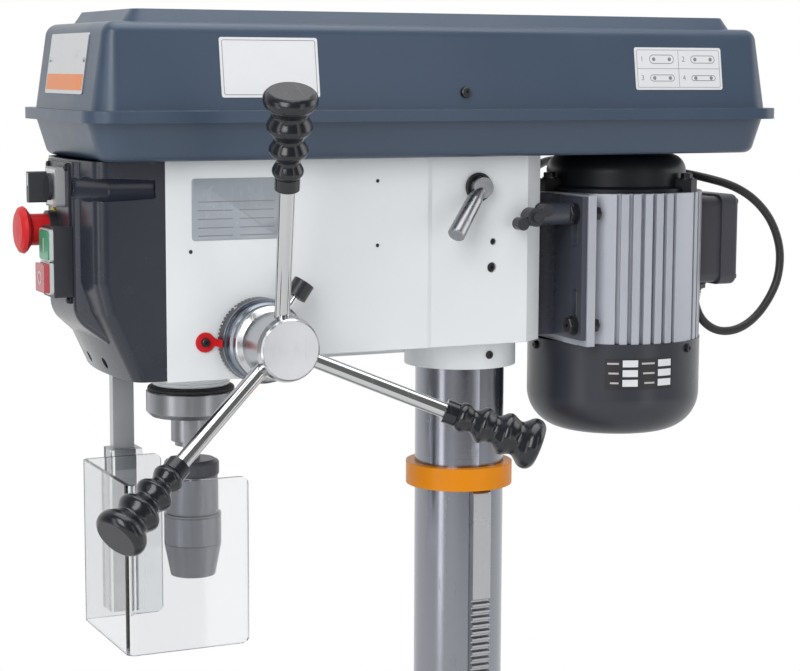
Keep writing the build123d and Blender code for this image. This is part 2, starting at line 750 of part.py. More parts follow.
def make_head():
    roof = HEAD_Z + HEAD_TOP
    ceiling = roof - ROOF_T
    feed = (feed_y(), HEAD_Z + FEED_Z)
    body = Pos(0, 0, HEAD_Z + HEAD_LOW) * extrude(head_outline(), HEAD_TOP - HEAD_LOW)
    body += block(-HEAD_HALF, HEAD_HALF, HEAD_FRONT, CHEEK_REAR, HEAD_Z + CHEEK_LOW,
                  HEAD_Z + HEAD_LOW + OVER)
    inner = HEAD_HALF - HEAD_WALL
    body -= block(-inner, inner, HEAD_FRONT + HEAD_WALL, HOLLOW_REAR, HEAD_Z + CHEEK_LOW - OVER,
                  ceiling)
    body += post(QUILL_BOSS_R, HEAD_Z + QUILL_BOSS_LOW, ceiling + OVER, 0, SPINDLE_Y)
    body += post(PULLEY_BOSS_R, HEAD_Z + PULLEY_BOSS_LOW, HEAD_Z + PULLEY_BOSS_TOP, 0, SPINDLE_Y)
    body += post(COLLAR_R, HEAD_Z + COLLAR_LOW, HEAD_Z + HEAD_LOW + OVER)
    body += block(-WEB_T / 2, WEB_T / 2, SPINDLE_Y + QUILL_R, HOLLOW_REAR + OVER, HEAD_Z + WEB_LOW,
                  ceiling + OVER)
    for side in (-1, 1):
        body += bar_x(SHAFT_BOSS_R, side * (inner - SHAFT_BOSS_L), side * (inner + OVER), *feed)
    # Bores for the quill, the drive bearings, the column, the feed shaft and its pinion
    body -= post(QUILL_R + SLIDE_FIT, HEAD_Z + QUILL_BOSS_LOW - OVER, HEAD_Z + DRIVE_BEARING_LOW, 0,
                 SPINDLE_Y)
    body -= post(DRIVE_BEARING_R + SHAFT_FIT, HEAD_Z + DRIVE_BEARING_LOW,
                 HEAD_Z + PULLEY_BOSS_TOP + OVER,
                 0, SPINDLE_Y)
    body -= post(COLUMN_R + SHAFT_FIT, HEAD_Z + COLLAR_LOW - OVER, HEAD_Z + COLUMN_IN_HEAD)
    body -= bar_x(FEED_SHAFT_R + SHAFT_FIT, -HEAD_HALF - OVER, HEAD_HALF + OVER, *feed)
    pinion_r = FEED_MODULE * (FEED_TEETH / 2 + ADDENDUM) + 3 * RUN_GAP
    body -= bar_x(pinion_r, -PINION_HALF - OVER, PINION_HALF + OVER, *feed)
    # Slide bars, tension pinion pocket, lever shaft and wing screw
    for side in (-1, 1):
        body -= bar_y(BAR_R + SLIDE_FIT, HOLLOW_REAR - OVER, HEAD_REAR + OVER, side * BAR_X,
                      HEAD_Z + BAR_Z)
    pocket = TENSION_MODULE * (TENSION_TEETH / 2 + ADDENDUM) + 2 * RUN_GAP
    body -= bar_x(pocket, TENSION_PINION[0] - OVER, TENSION_PINION[1] + OVER, TENSION_Y, tension_z())
    body -= bar_x(TENSION_SHAFT_R + SHAFT_FIT, TENSION_PINION[0], HEAD_HALF, TENSION_Y, tension_z())
    body -= bar_x(WING_STUD_R + SHAFT_FIT, BAR_X + BAR_R - OVER, HEAD_HALF, WING_Y, HEAD_Z + BAR_Z)
    body -= post(IDLER_PIVOT_R + SHAFT_FIT, ceiling - OVER, roof + OVER, *IDLER_PIVOT)
    for y, z, r in TAP_HOLES:
        body -= bar_x(r, REAR_HALF - TAP_DEPTH, HEAD_HALF + OVER, y, HEAD_Z + z)
    for y, z in RIVET_HOLES:
        body -= bar_x(RIVET_R, HEAD_HALF - HEAD_WALL / 2, HEAD_HALF + OVER, y, HEAD_Z + z)
    return body


# Fascia and switches

def fascia_section(height, setback, inset, rear):
    half = HEAD_HALF - inset
    front = FASCIA_SIDE_Y + setback + inset
    crown = front - FASCIA_CROWN
    sides = Polyline((half, front), (half, rear), (-half, rear), (-half, front))
    outline = make_face(sides + ThreePointArc((-half, front), (0, crown), (half, front)))
    outline = fillet(outline.vertices().sort_by(Axis.Y)[:2], FASCIA_EDGE - inset)
    return Pos(0, 0, HEAD_Z + height) * outline


def side_groove(side, wall):
    """The finger groove: along the side, round the corner and out through the nose."""
    rear, corner, front = [(side * x, y, HEAD_Z + GROOVE_Z) for x, y in GROOVE_RUN]
    rear_r, corner_r, front_r = [r + wall for r in GROOVE_RADII]
    return rod(rear, corner, rear_r, corner_r) + rod(corner, front, corner_r, front_r) \
        + Pos(*corner) * Sphere(corner_r)


def make_fascia():
    shell = loft([fascia_section(z, back, 0.0, HEAD_FRONT) for z, back in FASCIA_SECTIONS], ruled=True)
    plan = polygon([(NOSE_HALF, NOSE_Y), (NOSE_ROOT_HALF, NOSE_ROOT_Y), (-NOSE_ROOT_HALF, NOSE_ROOT_Y),
                    (-NOSE_HALF, NOSE_Y)])
    nose = Pos(0, 0, HEAD_Z) * extrude(plan, NOSE_TOP)
    profile = [(NOSE_Y, NOSE_TOP), (NOSE_Y, NOSE_LOW), (NOSE_ROOT_Y, NOSE_CHIN), (NOSE_ROOT_Y,
               NOSE_TOP)]
    side = polygon(profile)
    side = fillet(side.vertices().filter_by_position(Axis.X, NOSE_Y, NOSE_Y).sort_by(Axis.Y)[:1], NOSE_ROUND)
    nose &= Pos(-NOSE_ROOT_HALF, 0, HEAD_Z) * extrude(Plane.YZ * side, 2 * NOSE_ROOT_HALF)
    face = nose.faces().sort_by(Axis.Y)[0]
    nose = fillet(face.edges().filter_by(Axis.Z), NOSE_EDGE)
    envelope = shell + nose
    top, bottom = FASCIA_SECTIONS[0], FASCIA_SECTIONS[-1]
    above = FASCIA_SECTIONS[-2]
    share = FASCIA_WALL / (above[0] - bottom[0])
    inside = [(top[0] + OVER, top[1])] + list(FASCIA_SECTIONS[1:-1])
    inside += [(bottom[0] + FASCIA_WALL, bottom[1] + (above[1] - bottom[1]) * share)]
    cavity = loft([fascia_section(z, back, FASCIA_WALL, HEAD_FRONT + OVER) for z, back in inside],
                  ruled=True)
    fascia = envelope - cavity
    for side in (-1, 1):
        fascia += side_groove(side, GROOVE_WALL) & envelope
        fascia -= side_groove(side, 0.0)
        fascia -= bar_y(CHIN_HOLE_R, FASCIA_SIDE_Y, CHIN_HOLE_REAR, side * CHIN_HOLE_X,
                        HEAD_Z + CHIN_HOLE_Z)
    return fascia


def make_rotary_switch():
    base = facing_front(slab(ROTARY_PLATE, ROTARY_PLATE, ROTARY_CORNER, 0, ROTARY_DEPTH), ROTARY_X,
                        NOSE_Y,
                        HEAD_Z + ROTARY_Z)
    spindle_r = ROTARY_BORE_R - SHAFT_FIT
    base -= bar_y(ROTARY_BORE_R, NOSE_Y - ROTARY_DEPTH - OVER, NOSE_Y + OVER, ROTARY_X,
                  HEAD_Z + ROTARY_Z)
    knob = post(spindle_r, ROTARY_SPINDLE_LOW, ROTARY_DEPTH + ROTARY_DISC)
    knob += post(ROTARY_KNOB_R, ROTARY_DEPTH + RUN_GAP, ROTARY_DEPTH + ROTARY_DISC)
    top = ROTARY_DEPTH + ROTARY_DISC
    knob += slab(ROTARY_BAR_W, ROTARY_BAR_L, ROTARY_BAR_CORNER, top, top + ROTARY_BAR_H)
    return base, facing_front(knob, ROTARY_X, NOSE_Y, HEAD_Z + ROTARY_Z)


def make_estop():
    stem_high = ESTOP_COLLAR + ESTOP_STEM
    collar = post(ESTOP_COLLAR_R, 0, ESTOP_COLLAR) - post(ESTOP_STEM_R + SLIDE_FIT, -OVER,
                                                          ESTOP_COLLAR + OVER)
    stem = post(ESTOP_STEM_R, ESTOP_TRAVEL + RUN_GAP, stem_high)
    head = turned([(0, stem_high)] + [(r, stem_high + rise) for r, rise in ESTOP_PROFILE])
    at = (ESTOP_X, NOSE_Y, HEAD_Z + ESTOP_Z)
    return facing_front(collar, *at), facing_front(stem, *at), facing_front(head, *at)


def make_push_switch():
    mid = HEAD_Z + (PUSH_LOW + PUSH_HIGH) / 2
    tall = PUSH_HIGH - PUSH_LOW
    body = facing_front(slab(PUSH_W, tall, PUSH_CORNER, 0, PUSH_DEPTH), PUSH_X, NOSE_Y, mid)
    buttons = []
    for z, proud in ((START_Z, START_PROUD), (STOP_Z, STOP_PROUD)):
        well = slab(BUTTON_W + 2 * RUN_GAP, BUTTON_H + 2 * RUN_GAP, BUTTON_CORNER,
                    PUSH_DEPTH - BUTTON_INSIDE - BUTTON_TRAVEL, PUSH_DEPTH + OVER)
        body -= facing_front(well, PUSH_X, NOSE_Y, HEAD_Z + z)
        button = slab(BUTTON_W, BUTTON_H, BUTTON_CORNER, PUSH_DEPTH - BUTTON_INSIDE + RUN_GAP,
                      PUSH_DEPTH + proud)
        buttons.append(facing_front(button, PUSH_X, NOSE_Y, HEAD_Z + z))
    return body, buttons[0], buttons[1]


# Belt cover

def cover_slab(inset, corner, z0, z1, taper=0.0):
    w = 2 * (RIM_HALF - inset)
    d = RIM_REAR - RIM_FRONT - 2 * inset
    outline = RectangleRounded(w, d, corner)
    return Pos(0, (RIM_FRONT + RIM_REAR) / 2, HEAD_Z + z0) * extrude(outline, z1 - z0, taper=taper)


def hinge_axis():
    return -RIM_HALF - HINGE_OUT, HEAD_Z + RIM_Z + HINGE_UP


def lid_panel(inset, drop):
    """Outer or inner form of the raised panel on the lid, drawn in by an inset and dropped by a wall."""
    outline = RectangleRounded(2 * (PANEL_HALF - inset), PANEL_REAR - PANEL_FRONT - 2 * inset,
                               PANEL_CORNER - inset)
    low = LID_TOP - PANEL_SINK - drop
    panel = extrude(outline, PANEL_TOP - LID_TOP + PANEL_SINK, taper=PANEL_DRAFT)
    return Pos(0, (PANEL_FRONT + PANEL_REAR) / 2, HEAD_Z + low) * panel


def make_lid():
    rim_top = RIM_Z + RIM_LIP
    lid = cover_slab(LID_INSET, RIM_CORNER - LID_INSET / 2, RIM_Z, LID_TOP, LID_DRAFT)
    lid = fillet(lid.faces().sort_by(Axis.Z)[-1].edges(), LID_EDGE)
    lid += lid_panel(0.0, 0.0)
    lid += cover_slab(0, RIM_CORNER, RIM_Z, rim_top)
    lid -= cover_slab(RIM_LIP_T, RIM_CORNER - RIM_LIP_T, RIM_Z - OVER, rim_top - COVER_WALL)
    hollow = cover_slab(LID_INSET + COVER_WALL, RIM_CORNER - LID_INSET, RIM_Z - OVER,
                        LID_TOP - COVER_WALL,
                        LID_DRAFT)
    hollow = fillet(hollow.faces().sort_by(Axis.Z)[-1].edges(), LID_EDGE - COVER_WALL)
    lid -= hollow + lid_panel(COVER_WALL, COVER_WALL)
    x, z = hinge_axis()
    for y in HINGE_YS:
        knuckle = bar_y(HINGE_R, y - HINGE_L / 2, y - HINGE_L / 6 - RUN_GAP, x, z)
        knuckle += bar_y(HINGE_R, y + HINGE_L / 6 + RUN_GAP, y + HINGE_L / 2, x, z)
        leaf = block(x, -RIM_HALF + RIM_LIP_T, y - HINGE_L / 2, y + HINGE_L / 2,
                     z + HINGE_R - HINGE_LEAF_T, z + HINGE_R)
        leaf -= block(x - HINGE_R, x + HINGE_R + RUN_GAP, y - HINGE_L / 6 - RUN_GAP,
                      y + HINGE_L / 6 + RUN_GAP, z, z + HINGE_R + OVER)
        lid += knuckle + leaf
        lid -= bar_y(HINGE_PIN_R + SHAFT_FIT, y - HINGE_L, y + HINGE_L, x, z)
    return lid


def tray_flange_z():
    return RIM_Z + RIM_LIP - COVER_WALL - RUN_GAP


def tray_block(inset, lift):
    """Outer or inner form of the tray, drawn in by an inset and lifted off its floor."""
    rise = tray_flange_z() - HEAD_TOP
    spread = TRAY_INSET + rise * math.tan(math.radians(TRAY_DRAFT)) + inset
    outline = RectangleRounded(2 * (RIM_HALF - spread), RIM_REAR - RIM_FRONT - 2 * spread,
                               TRAY_CORNER - inset)
    return Pos(0, (RIM_FRONT + RIM_REAR) / 2, HEAD_Z + HEAD_TOP + lift) * extrude(outline, rise,
                                                                                  taper=-TRAY_DRAFT)


def make_tray():
    flange_z = tray_flange_z()
    tray = tray_block(0.0, 0.0)
    tray = fillet(tray.faces().sort_by(Axis.Z)[0].edges(), TRAY_EDGE)
    tray += cover_slab(TRAY_INSET, RIM_CORNER - TRAY_INSET, flange_z - TRAY_FLANGE, flange_z)
    tray -= tray_block(COVER_WALL, COVER_WALL)
    low, high = HEAD_Z + HEAD_TOP - OVER, HEAD_Z + HEAD_TOP + COVER_WALL + 1
    tray -= post(TRAY_BOSS_HOLE, low, high, 0, SPINDLE_Y)
    tray -= post(TRAY_PIVOT_HOLE, low, high, *IDLER_PIVOT)
    slot = SlotOverall(2 * TRAY_SHAFT_SLOT + TENSION_TRAVEL + SLACK_TRAVEL, 2 * TRAY_SHAFT_SLOT,
                       rotation=90)
    tray -= Pos(0, MOTOR_Y + (TENSION_TRAVEL - SLACK_TRAVEL) / 2, low) * extrude(slot, high - low)
    for start, end in VENTS:
        tray -= block(0, RIM_HALF, start, end, HEAD_Z + flange_z - TRAY_FLANGE - VENT_H,
                      HEAD_Z + flange_z - TRAY_FLANGE)
    return tray


def make_hinge_leaves():
    """Fixed leaves with their pins, on the tray's far side."""
    x, z = hinge_axis()
    pieces = []
    for y in HINGE_YS:
        third = HINGE_L / 6 - RUN_GAP
        leaf = bar_y(HINGE_R, y - third, y + third, x, z)
        leaf += block(x, x + HINGE_LEAF_L, y - third, y + third, z - HINGE_R,
                      z - HINGE_R + HINGE_LEAF_T) - tray_block(0.0, 0.0)
        leaf += bar_y(HINGE_PIN_R, y - HINGE_L / 2 - OVER, y + HINGE_L / 2 + OVER, x, z)
        pieces.append(leaf)
    return pieces


# Quill, spindle and chuck

def make_quill():
    low, top = HEAD_Z + QUILL_LOW, HEAD_Z + QUILL_TOP
    tube = post(QUILL_R, low, top, 0, SPINDLE_Y) - post(QUILL_BORE_R, low - OVER, top + OVER, 0,
                                                        SPINDLE_Y)
    tube -= post(LOW_BEARING_R + SHAFT_FIT, low - OVER, low + BEARING_W, 0, SPINDLE_Y)
    tube -= post(TOP_BEARING_R + SHAFT_FIT, top - BEARING_W, top + OVER, 0, SPINDLE_Y)
    first = HEAD_Z + FEED_Z - QUILL_RACK_END
    last = min(HEAD_Z + FEED_Z + QUILL_TRAVEL + QUILL_RACK_END, top - QUILL_RACK_INSET)
    gaps = rack_gaps(FEED_MODULE, QUILL_RACK_LINE, first, last, HEAD_Z + FEED_Z)
    tip = QUILL_RACK_LINE + ADDENDUM * FEED_MODULE
    points = [(QUILL_R + OVER, first), (tip, first)] + gaps + [(tip, last), (QUILL_R + OVER, last)]
    cut = Plane.YZ.offset(-PINION_HALF - OVER) * extrude(polygon(points), 2 * (PINION_HALF + OVER))
    return tube - Pos(0, SPINDLE_Y, 0) * cut


def make_quill_collar():
    low = HEAD_Z + QUILL_LOW
    high = low + COLLAR_RING_H
    ring = turned([(QUILL_R + SHAFT_FIT, low), (COLLAR_RING_R - COLLAR_RING_CHAMFER, low),
                   (COLLAR_RING_R, low + COLLAR_RING_CHAMFER),
                   (COLLAR_RING_R, high - COLLAR_RING_EDGE),
                   (COLLAR_RING_R - COLLAR_RING_EDGE, high), (QUILL_R + SHAFT_FIT, high)], 0, SPINDLE_Y)
    return ring


def make_quill_bearings():
    rings = []
    for r, z in ((LOW_BEARING_R, QUILL_LOW), (TOP_BEARING_R, QUILL_TOP - BEARING_W)):
        ring = post(r, HEAD_Z + z, HEAD_Z + z + BEARING_W, 0, SPINDLE_Y)
        rings.append(ring - post(SPINDLE_R + SHAFT_FIT, HEAD_Z + z - OVER,
                                 HEAD_Z + z + BEARING_W + OVER,
                                 0,
                                 SPINDLE_Y))
    return rings


def spline_bar(r, out, width, z0, z1):
    bar = post(r, z0, z1)
    for index in range(SPLINE_COUNT // 2):
        bar += Rot(0, 0, index * 360 / SPLINE_COUNT) * block(-out, out, -width / 2, width / 2, z0, z1)
    return bar


def make_spindle():
    low = HEAD_Z + QUILL_LOW
    shaft = turned([(0, HEAD_Z + CHUCK_TOP - CHUCK_SOCKET + ARBOR_GAP),
                    (ARBOR_R, HEAD_Z + CHUCK_TOP - CHUCK_SOCKET + ARBOR_GAP),
                    (ARBOR_R, HEAD_Z + NOSE_STEP_END), (NOSE_STEP_R, HEAD_Z + NOSE_STEP_END),
                    (NOSE_STEP_R, HEAD_Z + NOSE_END),
                    (NOSE_R, HEAD_Z + NOSE_END), (NOSE_R, low - RUN_GAP), (SPINDLE_R, low - RUN_GAP),
                    (SPINDLE_R, HEAD_Z + QUILL_TOP), (0, HEAD_Z + QUILL_TOP)])
    shaft += spline_bar(SPLINE_R, SPLINE_OUT, SPLINE_W, HEAD_Z + QUILL_TOP - OVER, HEAD_Z + SPLINE_TOP)
    return Pos(0, SPINDLE_Y, 0) * shaft


def jaw_axis(index):
    """Unit direction up the slanted jaw bore, and the jaw tip, for one of the jaws."""
    turn = math.radians(90 + index * 360 / JAW_COUNT)
    lean = math.radians(JAW_ANGLE)
    out = Vector(math.cos(turn), math.sin(turn), 0)
    tip = Vector(0, SPINDLE_Y, HEAD_Z + JAW_TIP_Z) + out * JAW_TIP_R
    return out * math.sin(lean) + Vector(0, 0, math.cos(lean)), tip, out


def make_chuck():
    core = turned([(0, CHUCK_TOP), (CHUCK_CAP_R - CHUCK_EDGE, CHUCK_TOP),
                   (CHUCK_CAP_R, CHUCK_TOP - CHUCK_EDGE),
                   (CHUCK_CAP_R, CHUCK_TOP - CHUCK_CAP),
                   (CHUCK_BODY_R, CHUCK_TOP - CHUCK_CAP - CHUCK_STEP), (CHUCK_BODY_R, SLEEVE_TOP),
                   (CORE_R, SLEEVE_TOP), (CORE_R, CORE_NECK),
                   (CORE_NOSE_R, CORE_NECK), (CORE_NOSE_R, CHUCK_END), (0, CHUCK_END)], 0, SPINDLE_Y,
                   HEAD_Z)
    core -= post(ARBOR_R + SHAFT_FIT, HEAD_Z + CHUCK_TOP - CHUCK_SOCKET, HEAD_Z + CHUCK_TOP + OVER, 0,
                 SPINDLE_Y)
    core -= post(CHUCK_BORE_R, HEAD_Z + CHUCK_END - OVER, HEAD_Z + CHUCK_BORE_TOP, 0, SPINDLE_Y)
    jaws = []
    for index in range(JAW_COUNT):
        lift, tip, out = jaw_axis(index)
        top = tip + lift * JAW_L
        jaw = rod(tuple(tip), tuple(top), JAW_R, JAW_R)
        core -= rod(tuple(tip - lift * JAW_RUN_OUT), tuple(top + lift * OVER), JAW_R + RUN_GAP,
                    JAW_R + RUN_GAP)
        jaws.append(jaw)
    sleeve = turned([(SLEEVE_IN_R, SLEEVE_TOP - RUN_GAP), (SLEEVE_R, SLEEVE_TOP - RUN_GAP),
                     (SLEEVE_R, SLEEVE_TAPER),
                     (CHUCK_END_R, CHUCK_END), (CORE_NOSE_R + RUN_GAP, CHUCK_END),
                     (CORE_NOSE_R + RUN_GAP, SLEEVE_CONE_END),
                     (SLEEVE_IN_R, CORE_NECK)], 0, SPINDLE_Y, HEAD_Z)
    return core, sleeve, jaws


# Feed shaft, hub and depth dial

def make_feed_shaft():
    centre = (feed_y(), HEAD_Z + FEED_Z)
    far = -HEAD_HALF - SPRING_CAP_T + SPRING_CAP_WALL + RUN_GAP
    shaft = bar_x(FEED_SHAFT_R, far, ARM_X, *centre)
    pinion = gear(FEED_MODULE, FEED_TEETH, 2 * PINION_HALF)
    turn = Pos(0, *centre) * Rot(0, 90, 0) * Rot(0, 0, -90)
    return shaft + turn * pinion


def arm_direction(index):
    phase = math.radians(ARM_PHASE + index * 360 / ARM_COUNT)
    tilt = math.radians(ARM_TILT)
    return Vector(math.sin(tilt), math.cos(phase) * math.cos(tilt), math.sin(phase) * math.cos(tilt))


def hub_centre():
    return Vector(ARM_X, feed_y(), HEAD_Z + FEED_Z)


def make_feed_hub():
    bore = FEED_SHAFT_R + SHAFT_FIT
    x0 = HEAD_HALF + 2 * RUN_GAP
    hub = turned([(bore, x0), (HUB_NECK_R, x0), (HUB_NECK_R, DIAL_RING_OUT + RUN_GAP),
                  (HUB_FLANGE_R, DIAL_RING_OUT + RUN_GAP),
                  (HUB_FLANGE_R, HUB_FLANGE_OUT - HUB_FLANGE_EDGE),
                  (HUB_FLANGE_R - HUB_FLANGE_EDGE, HUB_FLANGE_OUT),
                  (HUB_R + HUB_EDGE, HUB_FLANGE_OUT + HUB_ROOT),
                  (HUB_R + HUB_EDGE, HUB_FACE - HUB_TAPER), (HUB_R, HUB_FACE - HUB_EDGE),
                  (HUB_R - HUB_EDGE, HUB_FACE),
                  (0, HUB_FACE),
                  (0, ARM_X), (bore, ARM_X)])
    hub = facing_x(hub, 0, feed_y(), HEAD_Z + FEED_Z)
    arms, grips = [], []
    for index in range(ARM_COUNT):
        way = arm_direction(index)
        start = hub_centre() + way * ARM_SEAT
        inner = hub_centre() + way * (ARM_REACH - GRIP_L)
        core = hub_centre() + way * (ARM_REACH - GRIP_L / 3)
        hub -= rod(tuple(start), tuple(inner), ARM_R + SHAFT_FIT, ARM_R + SHAFT_FIT)
        arms.append(rod(tuple(start), tuple(core), ARM_R, ARM_R))
        grips.append(make_grip(Plane(origin=tuple(inner), z_dir=way)))
    return hub, arms, grips


def make_grip(plane):
    """Ribbed handle grip: a ferrule, three swelling ribs and a flared flat end, bored for its rod."""
    wave = [(r, share * GRIP_L) for r, share in GRIP_WAVE]
    lines = Polyline((0, 0), (GRIP_FERRULE_R, 0), (GRIP_FERRULE_R, wave[0][1]), wave[0])
    lines += Spline(*wave)
    lines += Polyline(wave[-1], (0, GRIP_L), (0, 0))
    grip = revolve(Plane.XZ * make_face(lines), Axis.Z)
    bore = Cylinder(ARM_R + SHAFT_FIT, 2 * GRIP_L / 3 + OVER, align=(Align.CENTER, Align.CENTER,
                    Align.MIN))
    return plane * (grip - bore)


def make_depth_dial():
    gap = RUN_GAP
    dial = turned([(HUB_NECK_R + gap, DIAL_IN), (DIAL_R, DIAL_IN), (DIAL_R, DIAL_OUT),
                   (DIAL_RING_R, DIAL_OUT),
                   (DIAL_RING_R, DIAL_RING_OUT - DIAL_EDGE), (DIAL_RING_R - DIAL_EDGE, DIAL_RING_OUT),
                   (HUB_NECK_R + gap, DIAL_RING_OUT)])
    dial = facing_x(dial, 0, feed_y(), HEAD_Z + FEED_Z)
    angle = math.radians(LOCK_ANGLE)
    out = Vector(0, math.cos(angle), math.sin(angle))
    centre = Vector((DIAL_OUT + DIAL_RING_OUT) / 2, feed_y(), HEAD_Z + FEED_Z)
    seat = centre + out * (HUB_NECK_R + LOCK_SEAT)
    dial -= rod(tuple(seat), tuple(centre + out * DIAL_R), LOCK_STUD_R + SHAFT_FIT,
                LOCK_STUD_R + SHAFT_FIT)
    knob = rod(tuple(seat + out * RUN_GAP), tuple(centre + out * LOCK_KNOB[1]), LOCK_STUD_R,
               LOCK_STUD_R)
    knob += rod(tuple(centre + out * LOCK_KNOB[0]), tuple(centre + out * LOCK_KNOB[1]), LOCK_KNOB_R,
                LOCK_KNOB_R)
    return dial, knob


def make_return_spring():
    centre = (feed_y(), HEAD_Z + FEED_Z)
    outer = -HEAD_HALF - SPRING_CAP_T
    cap = bar_x(SPRING_CAP_R, outer, -HEAD_HALF, *centre)
    cap -= bar_x(SPRING_CAP_R - SPRING_CAP_WALL, outer + SPRING_CAP_WALL, -HEAD_HALF + OVER, *centre)
    spring = bar_x(SPRING_CAP_R - SPRING_CAP_WALL - RUN_GAP, outer + 2 * SPRING_CAP_WALL,
                   -HEAD_HALF - SPRING_CAP_WALL, *centre)
    spring -= bar_x(SPRING_EYE_R, outer, -HEAD_HALF, *centre)
    return cap, spring


# Chuck guard

def make_guard():
    t = GUARD_T
    half = GUARD_HALF
    points = [(half, GUARD_NEAR_REAR), (half, GUARD_FRONT), (-half, GUARD_FRONT), (-half,
              GUARD_FAR_REAR),
              (-half + t, GUARD_FAR_REAR), (-half + t, GUARD_FRONT + t), (half - t, GUARD_FRONT + t),
              (half - t, GUARD_NEAR_REAR)]
    sheet = Pos(0, 0, HEAD_Z + GUARD_LOW) * extrude(polygon(points), GUARD_TOP - GUARD_LOW)
    corners = sheet.edges().filter_by(Axis.Z)
    sheet = fillet(corners.filter_by(lambda e: e.center().Y < GUARD_FRONT + OVER), GUARD_BEND)
    inner = sheet.edges().filter_by(Axis.Z).filter_by_position(Axis.Y, GUARD_FRONT + t - RUN_GAP,
                                                               GUARD_FRONT + t + RUN_GAP)
    sheet = fillet(inner, GUARD_BEND - t)
    ends = sheet.edges().filter_by(Axis.X).filter_by(lambda e: e.center().Y > GUARD_FAR_REAR - OVER)
    sheet = fillet(ends, GUARD_CORNER)
    bar_w = GUARD_BAR_W / 2 + RUN_GAP
    bar_t = GUARD_BAR_T / 2 + RUN_GAP
    clip = block(GUARD_BAR_X - bar_t - t, -half, GUARD_BAR_Y - bar_w - t, GUARD_BAR_Y + bar_w + t,
                 HEAD_Z + GUARD_LOW + GUARD_CLIP_LOW, HEAD_Z + GUARD_TOP + GUARD_CLIP_UP)
    clip -= block(GUARD_BAR_X - bar_t, GUARD_BAR_X + bar_t, GUARD_BAR_Y - bar_w, GUARD_BAR_Y + bar_w,
                  HEAD_Z + GUARD_LOW, HEAD_Z + GUARD_TOP + GUARD_CLIP_UP + OVER)
    bar = block(GUARD_BAR_X - GUARD_BAR_T / 2, GUARD_BAR_X + GUARD_BAR_T / 2,
                GUARD_BAR_Y - GUARD_BAR_W / 2,
                GUARD_BAR_Y + GUARD_BAR_W / 2, HEAD_Z + GUARD_BAR_LOW, HEAD_Z + GUARD_BAR_TOP)
    bar += post(GUARD_PIN_R, HEAD_Z + GUARD_BAR_TOP - OVER, HEAD_Z + GUARD_BRACKET_TOP + GUARD_PIN_UP,
                GUARD_BAR_X,
                GUARD_BAR_Y)
    bracket = block(GUARD_BAR_X - GUARD_BRACKET_OUT, -HEAD_HALF, GUARD_BAR_Y - GUARD_BRACKET_W / 2,
                    GUARD_BAR_Y + GUARD_BRACKET_W / 2,
                    HEAD_Z + GUARD_BRACKET_LOW, HEAD_Z + GUARD_BRACKET_TOP)
    bracket -= post(GUARD_PIN_R + SHAFT_FIT, HEAD_Z + GUARD_BRACKET_LOW - OVER,
                    HEAD_Z + GUARD_BRACKET_TOP + OVER, GUARD_BAR_X, GUARD_BAR_Y)
    return sheet + clip, bar, bracket


# Belt drive

def pulley_outline(steps):
    """Stepped cone pulley: outer points from the bottom step to the top one, each with its belt groove."""
    slope = GROOVE_D * math.tan(math.radians(GROOVE_ANGLE))
    points = []
    for index, r in enumerate(steps):
        low = HEAD_Z + STEP_LOW + index * STEP_H
        mid = low + STEP_H / 2
        points += [(r, low), (r, mid - GROOVE_W / 2), (r - GROOVE_D, mid - GROOVE_W / 2 + slope),
                   (r - GROOVE_D, mid + GROOVE_W / 2 - slope), (r, mid + GROOVE_W / 2), (r,
                   low + STEP_H)]
    return points


def step_mid(index):
    return HEAD_Z + STEP_LOW + (index + 0.5) * STEP_H


def make_spindle_pulley():
    low = HEAD_Z + STEP_LOW
    high = low + len(SPINDLE_STEPS) * STEP_H
    pulley = turned([(0, low)] + pulley_outline(SPINDLE_STEPS) + [(0, high)])
    pulley += post(SLEEVE_JOURNAL_R, HEAD_Z + DRIVE_BEARING_LOW, low + OVER)
    pulley -= spline_bar(SPLINE_R + SPLINE_FIT, SPLINE_OUT + SPLINE_FIT, SPLINE_W + 2 * SPLINE_FIT,
                         HEAD_Z + DRIVE_BEARING_LOW - OVER, high + OVER)
    return Pos(0, SPINDLE_Y, 0) * pulley


def make_drive_bearings():
    rings = []
    for z in (DRIVE_BEARING_LOW, DRIVE_BEARING_HIGH):
        ring = post(DRIVE_BEARING_R, HEAD_Z + z, HEAD_Z + z + BEARING_H, 0, SPINDLE_Y)
        rings.append(ring - post(SLEEVE_JOURNAL_R + SHAFT_FIT, HEAD_Z + z - OVER,
                                 HEAD_Z + z + BEARING_H + OVER, 0, SPINDLE_Y))
    return rings


def make_idler():
    plate_low = HEAD_Z + HEAD_TOP + COVER_WALL + 2 * RUN_GAP
    high = HEAD_Z + STEP_LOW + len(IDLER_STEPS) * STEP_H
    arm = post(IDLER_ARM_W, plate_low, plate_low + IDLER_ARM_T, 0, IDLER_Y)
    arm += post(IDLER_ARM_W, plate_low, plate_low + IDLER_ARM_T, *IDLER_PIVOT)
    run = Vector(IDLER_PIVOT[0], IDLER_PIVOT[1] - IDLER_Y)
    turn = math.degrees(math.atan2(run.Y, run.X))
    web = Box(run.length, 2 * IDLER_ARM_W, IDLER_ARM_T)
    arm += Pos(run.X / 2, IDLER_Y + run.Y / 2, plate_low + IDLER_ARM_T / 2) * Rot(0, 0, turn) * web
    arm += post(IDLER_PIVOT_R, HEAD_Z + HEAD_TOP - ROOF_T, plate_low + OVER, *IDLER_PIVOT)
    arm += post(IDLER_PIN_R, plate_low, high + IDLER_PIN_UP, 0, IDLER_Y)
    pulley = turned([(IDLER_PIN_R + SHAFT_FIT,
                      HEAD_Z + STEP_LOW)] + pulley_outline(IDLER_STEPS) + [(IDLER_PIN_R + SHAFT_FIT,
                      high)], 0, IDLER_Y)
    return arm, pulley


